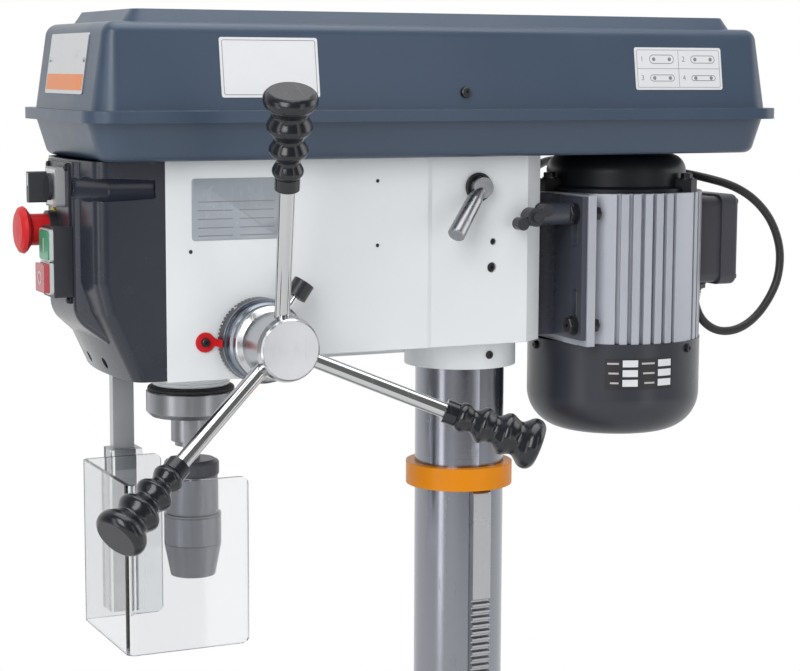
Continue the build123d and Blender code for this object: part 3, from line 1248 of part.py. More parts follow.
def belt_ring(r, y, other_r, other_y, mid):
    """V-belt round two grooves of the given step radii, centred on one height."""
    bottom_half = BELT_W / 2 - BELT_H * math.tan(math.radians(GROOVE_ANGLE))
    steep = (BELT_H - BELT_EDGE) / (BELT_W / 2 - bottom_half)

    def level(extra, z):
        circles = (Pos(0, y) * Circle(r + extra)).edges() + (Pos(0,
                                                             other_y) * Circle(other_r + extra)).edges()
        return Pos(0, 0, mid + z) * make_hull(circles)

    ring = extrude(level(BELT_PROUD, -BELT_W / 2), BELT_W)
    inside = BELT_PROUD - BELT_H
    ring -= extrude(level(inside, -bottom_half), 2 * bottom_half)
    for sign in (-1, 1):
        ring -= loft([level(inside, sign * bottom_half),
                      level(BELT_PROUD - BELT_EDGE + steep * OVER, sign * (BELT_W / 2 + OVER))],
                      ruled=True)
    return ring


def make_belts():
    lower = belt_ring(IDLER_STEPS[LOWER_BELT_INDEX], IDLER_Y, MOTOR_STEPS[LOWER_BELT_INDEX], MOTOR_Y,
                      step_mid(LOWER_BELT_INDEX))
    upper = belt_ring(SPINDLE_STEPS[UPPER_BELT_INDEX], SPINDLE_Y, IDLER_STEPS[UPPER_BELT_INDEX],
                      IDLER_Y,
                      step_mid(UPPER_BELT_INDEX))
    return [lower, upper]


# Motor

def make_motor_body():
    section = Circle(MOTOR_R)
    for first, count in FIN_ROWS:
        for index in range(count):
            near = first + index * FIN_PITCH
            for start in (near, 180 - near - FIN_GROOVE):
                corners = [(r * math.cos(math.radians(angle)), r * math.sin(math.radians(angle)))
                           for r, angle in ((MOTOR_CORE_R, start), (MOTOR_R + OVER, start),
                                            (MOTOR_R + OVER, start + FIN_GROOVE),
                                            (MOTOR_CORE_R, start + FIN_GROOVE))]
                section -= polygon(corners)
    body = Pos(0, MOTOR_Y, HEAD_Z + MOTOR_LOW) * extrude(section, MOTOR_HIGH - MOTOR_LOW)
    body += block(-FOOT_HALF, FOOT_HALF, FOOT_Y, FOOT_Y + FOOT_PLATE_T, HEAD_Z + FOOT_LOW,
                  HEAD_Z + MOTOR_HIGH)
    body += block(-FOOT_NECK_HALF, FOOT_NECK_HALF, FOOT_Y, MOTOR_Y - MOTOR_BORE_R / 2,
                  HEAD_Z + MOTOR_LOW, HEAD_Z + MOTOR_HIGH)
    body -= block(-MOTOR_R, MOTOR_R, 0, FOOT_Y, HEAD_Z + MOTOR_LOW - OVER, HEAD_Z + MOTOR_HIGH + OVER)
    body -= post(MOTOR_BORE_R, HEAD_Z + MOTOR_LOW + MOTOR_END_T, HEAD_Z + MOTOR_HIGH + OVER, 0, MOTOR_Y)
    body -= post(MOTOR_BEARING_R, HEAD_Z + MOTOR_LOW - OVER, HEAD_Z + MOTOR_LOW + MOTOR_END_T + OVER, 0,
                 MOTOR_Y)
    for low, high in BRACKET_SLOTS:
        for side in (-1, 1):
            body -= bar_y(BRACKET_SLOT_W / 2, FOOT_Y - OVER, FOOT_Y + FOOT_PLATE_T + OVER,
                          side * BRACKET_SLOT_X, HEAD_Z + (low + high) / 2)
    return body


def make_motor_bearings():
    low = HEAD_Z + MOTOR_LOW
    top = HEAD_Z + MOTOR_HIGH
    rings = []
    for z in (low, top + BELL_FLANGE):
        ring = post(MOTOR_BEARING_R - SHAFT_FIT, z, z + MOTOR_BEARING_H, 0, MOTOR_Y)
        ring -= post(SHAFT_R + SHAFT_FIT, z - OVER, z + MOTOR_BEARING_H + OVER, 0, MOTOR_Y)
        rings.append(ring)
    return rings


def make_motor_bell():
    low = MOTOR_HIGH
    seat = low + BELL_FLANGE
    bell = turned([(MOTOR_BEARING_R, seat), (MOTOR_BEARING_R, low), (BELL_FLANGE_R, low),
                   (BELL_FLANGE_R, low + BELL_RIM_H),
                   (BELL_R, low + BELL_RIM_H + BELL_STEP), (BELL_R, BELL_TOP),
                   (BELL_EYE_R, BELL_TOP), (BELL_EYE_R, seat + MOTOR_BEARING_H),
                   (MOTOR_BEARING_R, seat + MOTOR_BEARING_H)],
                  0, MOTOR_Y, HEAD_Z)
    rim = bell.faces().sort_by(Axis.Z)[-1].edges().sort_by(SortBy.LENGTH)[-1]
    bell = fillet(rim, BELL_EDGE)
    lug = block(LUG_IN, LUG_OUT, -LUG_SIZE / 2, LUG_SIZE / 2, HEAD_Z + low, HEAD_Z + low + LUG_H)
    for index in range(LUG_COUNT):
        bell += Pos(0, MOTOR_Y, 0) * Rot(0, 0, LUG_TURN + index * 360 / LUG_COUNT) * lug
    return bell


def rounded_pot(r, low, high, edge):
    pot = post(r, HEAD_Z + low, HEAD_Z + high, 0, MOTOR_Y)
    return fillet(pot.faces().sort_by(Axis.Z)[0].edges(), edge)


def make_motor_cowl():
    t = COWL_WALL
    cowl = rounded_pot(COWL_R, COWL_LOW, COWL_TOP, COWL_EDGE)
    cowl -= rounded_pot(COWL_R - t, COWL_LOW + t, COWL_TOP + OVER, COWL_EDGE - t)
    for ring in range(1, COWL_HOLE_RINGS + 1):
        count = COWL_HOLE_COUNT * ring
        for index in range(count):
            turn = 2 * math.pi * index / count
            r = COWL_HOLE_PITCH * ring
            cowl -= post(COWL_HOLE_R, HEAD_Z + COWL_LOW - OVER, HEAD_Z + COWL_LOW + t + OVER,
                         r * math.cos(turn),
                         MOTOR_Y + r * math.sin(turn))
    return cowl


def make_rotor():
    shaft = post(SHAFT_R, HEAD_Z + SHAFT_LOW, HEAD_Z + STEP_LOW + len(MOTOR_STEPS) * STEP_H, 0, MOTOR_Y)
    shaft += post(ROTOR_R, HEAD_Z + CORE_LOW, HEAD_Z + CORE_HIGH, 0, MOTOR_Y)
    shaft += post(FAN_HUB_R, HEAD_Z + FAN_LOW, HEAD_Z + FAN_HIGH, 0, MOTOR_Y)
    shaft += post(FAN_R, HEAD_Z + FAN_HIGH - FAN_BLADE_T, HEAD_Z + FAN_HIGH, 0, MOTOR_Y)
    for index in range(FAN_BLADES):
        blade = block(SHAFT_R, FAN_R, -FAN_BLADE_T / 2, FAN_BLADE_T / 2, HEAD_Z + FAN_LOW,
                      HEAD_Z + FAN_HIGH)
        shaft += Pos(0, MOTOR_Y, 0) * Rot(0, 0, index * 360 / FAN_BLADES) * blade
    low = HEAD_Z + STEP_LOW
    pulley = turned([(SHAFT_R + SHAFT_FIT, low)] + pulley_outline(MOTOR_STEPS) + [(SHAFT_R + SHAFT_FIT,
                    low + len(MOTOR_STEPS) * STEP_H)], 0, MOTOR_Y)
    return shaft, pulley


def make_stator():
    ring = post(MOTOR_BORE_R - SHAFT_FIT, HEAD_Z + CORE_LOW, HEAD_Z + CORE_HIGH, 0, MOTOR_Y)
    ring += post(WINDING_R, HEAD_Z + CORE_LOW - WINDING_END, HEAD_Z + CORE_HIGH + WINDING_END, 0,
                 MOTOR_Y)
    return ring - post(STATOR_IN, HEAD_Z + CORE_LOW - WINDING_END - OVER,
                       HEAD_Z + CORE_HIGH + WINDING_END + OVER, 0, MOTOR_Y)


def bracket_y():
    return FOOT_Y - BRACKET_T


def make_motor_bracket():
    y = bracket_y()
    plate = block(-BRACKET_HALF, BRACKET_HALF, y, FOOT_Y, HEAD_Z + BRACKET_LOW, HEAD_Z + BRACKET_HIGH)
    rib = post(BRACKET_RIB_R, HEAD_Z + BRACKET_LOW, HEAD_Z + BRACKET_HIGH, 0, y)
    plate += rib & block(-BRACKET_HALF, BRACKET_HALF, y - BRACKET_RIB_R, y + OVER, HEAD_Z,
                         HEAD_Z + HEAD_TOP)
    for low, high in BRACKET_SLOTS:
        for side in (-1, 1):
            slot = SlotOverall(high - low, BRACKET_SLOT_W, rotation=90)
            plate -= facing_front(Pos(0, 0, -OVER) * extrude(slot, BRACKET_T + 2 * OVER),
                                  side * BRACKET_SLOT_X,
                                  FOOT_Y, HEAD_Z + (low + high) / 2)
    bars = []
    for side in (-1, 1):
        bar = bar_y(BAR_R, BAR_END, y, side * BAR_X, HEAD_Z + BAR_Z)
        if side > 0:
            bar -= tension_rack_cut()
        bars.append(bar)
    return [plate] + bars


def tension_rack_cut():
    """Teeth cut in the top of the near slide bar, for the lever's pinion."""
    line = tension_z() - TENSION_MODULE * TENSION_TEETH / 2
    first = TENSION_Y - TENSION_TRAVEL - TENSION_RACK_END
    last = TENSION_Y + SLACK_TRAVEL + TENSION_RACK_END
    tip = line + ADDENDUM * TENSION_MODULE
    points = [(HEAD_Z + BAR_Z + BAR_R + OVER, first), (tip, first)]
    points += rack_gaps(TENSION_MODULE, line, first, last, TENSION_Y) + [(tip, last),
                                                                         (HEAD_Z + BAR_Z + BAR_R + OVER,
                                                                         last)]
    outline = polygon([(at, z) for z, at in points])
    return Pos(BAR_X - BAR_R, 0, 0) * extrude(Plane.YZ * outline, 2 * BAR_R)


def make_tension_lever():
    z = tension_z()
    lever = bar_x(TENSION_SHAFT_R, TENSION_PINION[0], LEVER_BOSS_OUT, TENSION_Y, z)
    pinion = gear(TENSION_MODULE, TENSION_TEETH, TENSION_PINION[1] - TENSION_PINION[0])
    mid = (TENSION_PINION[0] + TENSION_PINION[1]) / 2
    lever += Pos(mid, TENSION_Y, z) * Rot(0, 90, 0) * pinion
    lever += bar_x(LEVER_BOSS_R, HEAD_HALF, LEVER_BOSS_OUT, TENSION_Y, z)
    way = Vector(*LEVER_DIR).normalized()
    start = Vector(LEVER_BOSS_OUT - LEVER_SEAT, TENSION_Y, z)
    stations = ((0.0, LEVER_ROOT_R), (LEVER_NECK_L, LEVER_GRIP_R), (LEVER_L - LEVER_CHAMFER, LEVER_END_R),
                (LEVER_L, LEVER_END_R - LEVER_CHAMFER))
    for (near, near_r), (far, far_r) in zip(stations, stations[1:]):
        lever += rod(tuple(start + way * near), tuple(start + way * far), near_r, far_r)
    return lever


def make_wing_knob():
    z = HEAD_Z + BAR_Z
    knob = bar_x(WING_STUD_R, BAR_X + BAR_R + RUN_GAP, WING_OUT + WING_STUD_UP, WING_Y, z)
    knob += bar_x(WING_HUB_R, WING_IN, WING_OUT, WING_Y, z)
    turn = math.radians(WING_TURN)
    for side in (-1, 1):
        y = WING_Y + side * (WING_L - WING_END_R) * math.cos(turn)
        knob += bar_x(WING_END_R, WING_IN + WING_EDGE, WING_OUT - WING_EDGE / 2, y,
                      z + side * (WING_L - WING_END_R) * math.sin(turn))
    web = Rot(WING_TURN, 0, 0) * Box(WING_OUT - WING_IN - 2 * WING_EDGE, 2 * (WING_L - WING_END_R),
                                     WING_WEB)
    return knob + Pos((WING_IN + WING_OUT) / 2, WING_Y, z) * web


def make_terminal_box():
    mid = HEAD_Z + (BOX_LOW + BOX_HIGH) / 2
    tall = BOX_HIGH - BOX_LOW
    split_y = BOX_REAR - BOX_LID_T
    base_d = split_y - MOTOR_Y - MOTOR_CORE_R + BOX_SEAT
    base = facing_front(slab(2 * BOX_HALF - BOX_STEP, tall - BOX_STEP, BOX_EDGE, 0, base_d), 0, split_y,
                        mid)
    base -= post(MOTOR_R + RUN_GAP / 4, HEAD_Z + BOX_LOW - OVER, HEAD_Z + BOX_HIGH + OVER, 0, MOTOR_Y)
    lid = facing_front(slab(2 * BOX_HALF, tall, BOX_EDGE, 0, BOX_LID_T), 0, BOX_REAR, mid)
    lid = fillet(lid.faces().sort_by(Axis.Y)[-1].edges(), BOX_LID_EDGE)
    end = CABLE_ROUTE[-1]
    gland = post(GLAND_R, HEAD_Z + end[2], HEAD_Z + BOX_LOW + BOX_STEP / 2, end[0], end[1])
    return [base, lid, gland]


def make_glands():
    pieces = []
    for x, z in (HEAD_GLAND, MAINS_GLAND):
        gland = bar_y(GLAND_R, HEAD_REAR, HEAD_REAR + GLAND_L, x, HEAD_Z + z)
        pieces.append(gland)
    return pieces


def make_cable():
    points = [Vector(x, y, HEAD_Z + z) for x, y, z in CABLE_ROUTE]
    radii = []
    for before, here, after in zip(points, points[1:], points[2:]):
        turn = math.radians((here - before).get_angle(after - here))
        run = min((here - before).length, (after - here).length)
        radii.append(CABLE_BEND_SHARE * run / math.tan(turn / 2))
    path = FilletPolyline(*points, radius=radii)
    return sweep(Plane(origin=points[0], z_dir=points[1] - points[0]) * Circle(CABLE_R), path=path)


# Table, bracket and lift

def make_table():
    top = slab(TABLE_W, TABLE_D, TABLE_CORNER, TABLE_Z - TABLE_T, TABLE_Z, 0, SPINDLE_Y)
    skirt = slab(TABLE_W, TABLE_D, TABLE_CORNER, TABLE_Z - TABLE_SKIRT, TABLE_Z - TABLE_T + OVER, 0,
                 SPINDLE_Y)
    skirt -= slab(TABLE_W - 2 * TABLE_SKIRT_T, TABLE_D - 2 * TABLE_SKIRT_T,
                  TABLE_CORNER - TABLE_SKIRT_T,
                  TABLE_Z - TABLE_SKIRT - OVER,
                  TABLE_Z, 0, SPINDLE_Y)
    table = top + skirt
    axis_z = TABLE_Z - TILT_DROP
    flange_front = BRACKET_FACE_Y - TILT_FLANGE_T
    half = TILT_R - TILT_INSET
    flange = bar_y(TILT_R, flange_front, BRACKET_FACE_Y - RUN_GAP, 0, axis_z)
    flange += block(-half, half, flange_front, BRACKET_FACE_Y - 2 * RUN_GAP, axis_z,
                    TABLE_Z - TABLE_T + OVER)
    table += flange
    rib = [(flange_front + OVER, axis_z - TILT_R / 2), (flange_front + OVER, TABLE_Z - TABLE_T),
           (SPINDLE_Y,
           TABLE_Z - TABLE_T), (SPINDLE_Y, TABLE_Z - TABLE_SKIRT)]
    for side in (-1, 1):
        table += Pos(side * TABLE_RIB_X - TABLE_RIB_T / 2, 0, 0) * extrude(Plane.YZ * polygon(rib),
                                                                           TABLE_RIB_T)
    table -= post(TABLE_HOLE_R, TABLE_Z - TABLE_T - OVER, TABLE_Z + OVER, 0, SPINDLE_Y)
    for side in (-1, 1):
        slot = SlotOverall(TABLE_SLOT_L, TABLE_SLOT_W, rotation=90)
        table -= Pos(side * TABLE_SLOT_X, SPINDLE_Y, TABLE_Z - TABLE_T - OVER) * extrude(slot,
                                                                                         TABLE_T + 2 * OVER)
    table -= bar_y(TILT_BOLT_R + SHAFT_FIT, flange_front - OVER, BRACKET_FACE_Y, 0, axis_z)
    return table


def make_tilt_bolt():
    axis_z = TABLE_Z - TILT_DROP
    head_y = BRACKET_FACE_Y - TILT_FLANGE_T - RUN_GAP
    bolt = bar_y(TILT_BOLT_R, head_y, BRACKET_FACE_Y + TILT_BOLT_GRIP, 0, axis_z)
    return bolt + facing_front(hexagon_head(TILT_HEX, 0, TILT_HEX_H), 0, head_y, axis_z)


def gear_x():
    return rack_line() + RACK_MODULE * LIFT_TEETH / 2


def worm_z():
    return lift_gear_z() - RACK_MODULE * LIFT_TEETH / 2 - WORM_PITCH_R


def make_table_bracket():
    axis_z = TABLE_Z - TILT_DROP
    low, high = axis_z - BRACKET_RING_H / 2, axis_z + BRACKET_RING_H / 2
    half = TILT_R - TILT_INSET
    body = post(BRACKET_RING_R, low, high)
    body += block(-half, half, BRACKET_NECK_Y, 0, axis_z - half, axis_z + half)
    body += bar_y(TILT_R, BRACKET_FACE_Y, BRACKET_FACE_Y + BRACKET_FLANGE_T, 0, axis_z)
    body += block(COLUMN_R, GEARBOX_X, -GEARBOX_HALF, GEARBOX_HALF, lift_gear_z() - GEARBOX_DOWN,
                  lift_gear_z() + GEARBOX_UP)
    body += block(-BRACKET_CLAMP_W / 2, BRACKET_CLAMP_W / 2, BRACKET_RING_R - CLAMP_SINK,
                  BRACKET_RING_R + CLAMP_OUT, low + CLAMP_INSET, high - CLAMP_INSET)
    body -= post(COLUMN_R + RUN_GAP, low - OVER, high + OVER)
    body -= block(COLUMN_R - COLUMN_WALL, COLUMN_R + RACK_T + 2 * RUN_GAP, -RACK_W / 2 - RUN_GAP,
                  RACK_W / 2 + RUN_GAP, low - OVER, high + OVER)
    body -= block(-BRACKET_SLIT / 2, BRACKET_SLIT / 2, COLUMN_R - COLUMN_WALL,
                  BRACKET_RING_R + CLAMP_OUT + OVER, low - OVER,
                  high + OVER)
    body -= bar_x(LOCK_BOLT_R + SHAFT_FIT, -BRACKET_CLAMP_W, BRACKET_CLAMP_W,
                  BRACKET_RING_R + LOCK_BOLT_OUT, axis_z)
    body -= bar_y(TILT_BOLT_R, BRACKET_FACE_Y - OVER, BRACKET_FACE_Y + TILT_BOLT_GRIP + OVER, 0, axis_z)
    # Gear and worm chambers, with the gear's pin bore and the crank shaft's bore
    chamber = RACK_MODULE * (LIFT_TEETH / 2 + ADDENDUM) + 2 * RUN_GAP
    width = LIFT_WIDTH / 2 + RUN_GAP
    body -= bar_y(chamber, -width, width, gear_x(), lift_gear_z())
    body -= block(COLUMN_R, gear_x(), -width, width, lift_gear_z() - chamber, lift_gear_z() + chamber)
    body -= bar_y(LIFT_SHAFT_R + SHAFT_FIT, -GEARBOX_HALF - OVER, GEARBOX_HALF + OVER, gear_x(),
                  lift_gear_z())
    worm_r = WORM_PITCH_R + WORM_THREAD + 2 * RUN_GAP
    body -= bar_x(worm_r, COLUMN_R + RACK_T + WORM_END, GEARBOX_X - GEARBOX_WALL, 0, worm_z())
    body -= bar_x(CRANK_SHAFT_R + SHAFT_FIT, COLUMN_R + RACK_T + WORM_END, GEARBOX_X + OVER, 0,
                  worm_z())
    return body


def make_lift_gear():
    wheel = gear(RACK_MODULE, LIFT_TEETH, LIFT_WIDTH)
    turn = Pos(gear_x(), 0, lift_gear_z()) * Rot(90, 0, 0) * Rot(0, 0, 180)
    pin = bar_y(LIFT_SHAFT_R, -GEARBOX_HALF, GEARBOX_HALF, gear_x(), lift_gear_z())
    return turn * wheel + pin


def make_crank():
    z = worm_z()
    inner = COLUMN_R + RACK_T + WORM_END + RUN_GAP
    crank = bar_x(CRANK_SHAFT_R, inner, CRANK_X + CRANK_ARM_T, 0, z)
    lead = math.pi * RACK_MODULE
    length = WORM_TURNS * lead
    helix = Helix(lead, length, WORM_PITCH_R)
    tooth = polygon([(-WORM_DEPTH, -lead / 4), (WORM_THREAD, -lead / 10), (WORM_THREAD, lead / 10),
                     (-WORM_DEPTH, lead / 4)])
    section = Plane(origin=helix @ 0, x_dir=(1, 0, 0), z_dir=helix % 0) * tooth
    thread = sweep(section, path=helix, is_frenet=True)
    crank += Pos(gear_x() - length / 2, 0, z) * Rot(0, 90, 0) * thread
    arm = SlotCenterToCenter(CRANK_RADIUS, 2 * CRANK_BOSS_R)
    crank += Pos(CRANK_X, 0, z - CRANK_RADIUS / 2) * Rot(0, 90, 0) * extrude(arm, CRANK_ARM_T)
    outer = CRANK_X + CRANK_ARM_T
    knob = CRANK_KNOB_PROFILE
    crank += bar_x(CRANK_PIN_R, CRANK_X, outer + knob[-1][1], 0, z - CRANK_RADIUS)
    crank += facing_x(turned([(0, knob[0][1])] + list(knob) + [(0, knob[-1][1])]), outer, 0,
                      z - CRANK_RADIUS)
    return crank


def make_lock_lever():
    axis_z = TABLE_Z - TILT_DROP
    y = BRACKET_RING_R + LOCK_BOLT_OUT
    out = BRACKET_CLAMP_W / 2 + RUN_GAP
    bolt = bar_x(LOCK_BOLT_R, -out - LOCK_HEAD_T, out + LOCK_HEAD_T, y, axis_z)
    bolt += facing_x(hexagon_head(2 * LOCK_BOLT_R, 0, LOCK_HEAD_T), -out - LOCK_HEAD_T, y, axis_z)
    bolt += bar_x(2 * LOCK_BOLT_R, out, out + 2 * LOCK_HEAD_T, y, axis_z)
    start = Vector(out + LOCK_HEAD_T, y, axis_z)
    end = start + Vector(LOCK_LEVER_L / 4, LOCK_LEVER_L, LOCK_LEVER_L / 4)
    bolt += rod(tuple(start), tuple(end), LOCK_BOLT_R, LOCK_LEVER_END_R)
    return bolt + Pos(end) * Sphere(LOCK_BALL_R)


def all_nodes():
    foot, foot_bolts = make_column_foot()
    rotary_base, rotary_knob = make_rotary_switch()
    estop_collar, estop_stem, estop_head = make_estop()
    push_body, start_button, stop_button = make_push_switch()
    chuck_body, chuck_sleeve, jaws = make_chuck()
    hub, arms, grips = make_feed_hub()
    dial, dial_lock = make_depth_dial()
    cap, spring = make_return_spring()
    shield, guard_bar, guard_bracket = make_guard()
    idler_arm, idler_pulley = make_idler()
    rotor, motor_pulley = make_rotor()
    low_bearing, top_bearing = make_motor_bearings()
    nodes = {
        "base": make_base(),
        "column_foot": group([foot] + foot_bolts),
        "column": make_column(),
        "rack_ring": make_rack_ring(),
        "table_rack": make_table_rack(),
        "head_casting": make_head(),
        "front_fascia": make_fascia(),
        "rotary_switch_base": rotary_base,
        "rotary_knob": rotary_knob,
        "push_switch_body": group([push_body, estop_collar]),
        "start_button": start_button,
        "stop_button": stop_button,
        "estop_stem": estop_stem,
        "estop_head": estop_head,
        "belt_tray": make_tray(),
        "belt_lid": make_lid(),
        "hinge_leaves": group(make_hinge_leaves()),
        "quill": make_quill(),
        "quill_collar": make_quill_collar(),
        "quill_bearings": group(make_quill_bearings()),
        "spindle": make_spindle(),
        "chuck_body": chuck_body,
        "chuck_sleeve": chuck_sleeve,
        "feed_shaft": make_feed_shaft(),
        "feed_hub": hub,
        "feed_arms": group(arms),
        "feed_grips": group(grips),
        "depth_dial": dial,
        "dial_lock_knob": dial_lock,
        "spring_cap": cap,
        "return_spring": spring,
        "guard_shield": shield,
        "guard_bar": guard_bar,
        "guard_bracket": guard_bracket,
        "spindle_pulley": make_spindle_pulley(),
        "drive_bearings": group(make_drive_bearings()),
        "idler_arm": idler_arm,
        "idler_pulley": idler_pulley,
        "drive_belts": group(make_belts()),
        "motor_body": make_motor_body(),
        "motor_stator": group([make_stator(), low_bearing]),
        "motor_top_bell": group([make_motor_bell(), top_bearing]),
        "motor_cowl": make_motor_cowl(),
        "motor_rotor": rotor,
        "motor_pulley": motor_pulley,
        "motor_bracket": group(make_motor_bracket()),
        "terminal_box": group(make_terminal_box()),
        "tension_lever": make_tension_lever(),
        "slide_lock_knob": make_wing_knob(),
        "cable_glands": group(make_glands()),
        "motor_cable": make_cable(),
        "table": make_table(),
        "tilt_bolt": make_tilt_bolt(),
        "table_bracket": make_table_bracket(),
        "table_gear": make_lift_gear(),
        "crank": make_crank(),
        "table_lock_lever": make_lock_lever(),
    }
    for index, jaw in enumerate(jaws):
        nodes[f"chuck_jaw_{index + 1}"] = jaw
    return nodes


os.makedirs("parts", exist_ok=True)
for name, shape in all_nodes().items():
    export_step(shape, f"parts/{name}.step")
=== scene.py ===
import json
import math

import bmesh
import bpy
from mathutils import Matrix, Vector


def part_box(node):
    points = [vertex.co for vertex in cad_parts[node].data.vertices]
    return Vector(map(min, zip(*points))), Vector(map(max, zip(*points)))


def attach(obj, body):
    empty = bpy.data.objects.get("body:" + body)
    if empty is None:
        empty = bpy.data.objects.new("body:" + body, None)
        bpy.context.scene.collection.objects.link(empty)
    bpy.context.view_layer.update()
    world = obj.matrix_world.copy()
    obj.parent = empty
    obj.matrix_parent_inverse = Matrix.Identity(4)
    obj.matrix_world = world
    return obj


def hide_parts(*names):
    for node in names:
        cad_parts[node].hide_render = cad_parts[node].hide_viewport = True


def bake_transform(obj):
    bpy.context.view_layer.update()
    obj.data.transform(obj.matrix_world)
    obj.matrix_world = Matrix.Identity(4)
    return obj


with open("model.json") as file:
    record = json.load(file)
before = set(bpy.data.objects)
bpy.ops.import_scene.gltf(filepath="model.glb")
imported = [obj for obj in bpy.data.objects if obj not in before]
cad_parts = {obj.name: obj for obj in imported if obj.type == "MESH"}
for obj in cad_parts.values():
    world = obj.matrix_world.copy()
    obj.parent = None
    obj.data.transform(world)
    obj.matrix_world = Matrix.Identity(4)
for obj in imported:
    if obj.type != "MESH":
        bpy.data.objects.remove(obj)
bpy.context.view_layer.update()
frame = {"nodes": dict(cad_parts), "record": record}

# Datums. The head's lies 1.35 m above the floor on the column's axis, and places are measured from it.

MM = 0.001
X_AXIS = Vector((1.0, 0.0, 0.0))
Y_AXIS = Vector((0.0, 1.0, 0.0))
Z_AXIS = Vector((0.0, 0.0, 1.0))
HEAD = Vector((0.0, 0.0, 1.350))


def at(x, y, z):
    """A place given in millimetres from the head's datum."""
    return HEAD + Vector((x, y, z)) * MM


SPINDLE_Y = -255.0
MOTOR_Y = 160.0
SPINDLE = at(0, SPINDLE_Y, 0)
FEED = at(0, -222.5, 17.5)
MOTOR = at(0, MOTOR_Y, 0)


def show(name, data):
    obj = bpy.data.objects.new(name, data)
    bpy.context.scene.collection.objects.link(obj)
    return obj


def facing_matrix(across, upward, out):
    """The turn that lays X, Y and Z along these directions."""
    return Matrix((across, upward, out)).transposed().to_4x4()


# Camera.

CAMERA_PLACE = Vector((1.6255, -0.818, 1.5873))
CAMERA_TURN = math.radians(64.98)
CAMERA_RISE = math.radians(7.43)
CAMERA_ROLL = math.radians(0.24)
CAMERA_LENS = 91.763
CAMERA_SENSOR = 36.0
CAMERA_NEAR = 0.05


def aim_camera():
    level = math.cos(CAMERA_RISE)
    back = Vector((math.sin(CAMERA_TURN) * level, -math.cos(CAMERA_TURN) * level, math.sin(CAMERA_RISE)))
    flat = (-back).cross(Z_AXIS).normalized()
    upright = flat.cross(-back)
    right = flat * math.cos(CAMERA_ROLL) + upright * math.sin(CAMERA_ROLL)
    up = upright * math.cos(CAMERA_ROLL) - flat * math.sin(CAMERA_ROLL)
    data = bpy.data.cameras.new("camera")
    data.lens = CAMERA_LENS
    data.sensor_width = CAMERA_SENSOR
    data.clip_start = CAMERA_NEAR
    camera = show("camera", data)
    camera.matrix_world = Matrix.Translation(CAMERA_PLACE) @ facing_matrix(right, up, back)
    bpy.context.scene.camera = camera


aim_camera()


# Node helpers.

FLOAT = "NodeSocketFloat"
VECTOR = "NodeSocketVector"
GEOMETRY = "NodeSocketGeometry"


def fill(tree, node, values):
    """Set or link a node's inputs."""
    for key, value in values.items():
        if isinstance(value, bpy.types.NodeSocket):
            tree.links.new(value, node.inputs[key])
        else:
            node.inputs[key].default_value = value
    return node


def add(tree, kind, values=None, **settings):
    node = tree.nodes.new(kind)
    for key, value in settings.items():
        setattr(node, key, value)
    return fill(tree, node, values or {})


def new_group(name, kind, inputs, outputs):
    tree = bpy.data.node_groups.new(name, kind)
    for label, socket_type, value in inputs:
        socket = tree.interface.new_socket(label, in_out="INPUT", socket_type=socket_type)
        if value is not None:
            socket.default_value = value
    for label, socket_type in outputs:
        tree.interface.new_socket(label, in_out="OUTPUT", socket_type=socket_type)
    return tree, add(tree, "NodeGroupInput").outputs, add(tree, "NodeGroupOutput")


def call(tree, group, values):
    return add(tree, "ShaderNodeGroup", values, node_tree=group).outputs


def spread(tree, value, low, high, to_low=0.0, to_high=1.0):
    """Carry a value over from one range to another."""
    values = {"Value": value, "From Min": low, "From Max": high, "To Min": to_low, "To Max": to_high}
    return add(tree, "ShaderNodeMapRange", values).outputs["Result"]


def maths(tree, operation, first, second, clamp=False):
    node = add(tree, "ShaderNodeMath", {0: first, 1: second}, operation=operation, use_clamp=clamp)
    return node.outputs["Value"]


def vectors(tree, operation, first, second=(0.0, 0.0, 0.0)):
    """Vector maths, where a length or a dot product comes out as a number."""
    node = add(tree, "ShaderNodeVectorMath", {0: first, 1: second}, operation=operation)
    return node.outputs["Value" if operation in ("LENGTH", "DOT_PRODUCT") else "Vector"]


def noise(tree, where, scale, detail, roughness=0.5):
    values = {"Vector": where, "Scale": scale, "Detail": detail, "Roughness": roughness}
    return add(tree, "ShaderNodeTexNoise", values).outputs["Fac"]


def object_place(tree):
    return add(tree, "ShaderNodeTexCoord").outputs["Object"]


def softened_normal(tree, radius):
    return add(tree, "ShaderNodeBevel", {"Radius": radius}, samples=4).outputs["Normal"]


def vector_of(tree, x, y, z):
    return add(tree, "ShaderNodeCombineXYZ", {"X": x, "Y": y, "Z": z}).outputs["Vector"]


def mixed_value(tree, factor, low, high):
    return add(tree, "ShaderNodeMix", {0: factor, 2: low, 3: high}, data_type="FLOAT").outputs[0]


def mixed(tree, factor, low, high):
    """Mix two colours, each a socket or a plain colour."""
    ends = [end if isinstance(end, bpy.types.NodeSocket) else (*end, 1.0) for end in (low, high)]
    return add(tree, "ShaderNodeMix", {0: factor, 6: ends[0], 7: ends[1]}, data_type="RGBA").outputs[2]


# Effects that the finishes share.

def make_skin_group():
    """Fine orange peel or moulding grain, with a slow drift of tone."""
    inputs = [("Grain", FLOAT, 420.0), ("Drift", FLOAT, 9.0)]
    tree, given, out = new_group("skin", "ShaderNodeTree", inputs, [("Height", FLOAT), ("Tone", FLOAT)])
    where = object_place(tree)
    slow = noise(tree, where, given["Drift"], 5.0, 0.6)
    fill(tree, out, {"Height": noise(tree, where, given["Grain"], 3.0, 0.55),
                     "Tone": spread(tree, slow, 0.3, 0.7)})
    return tree


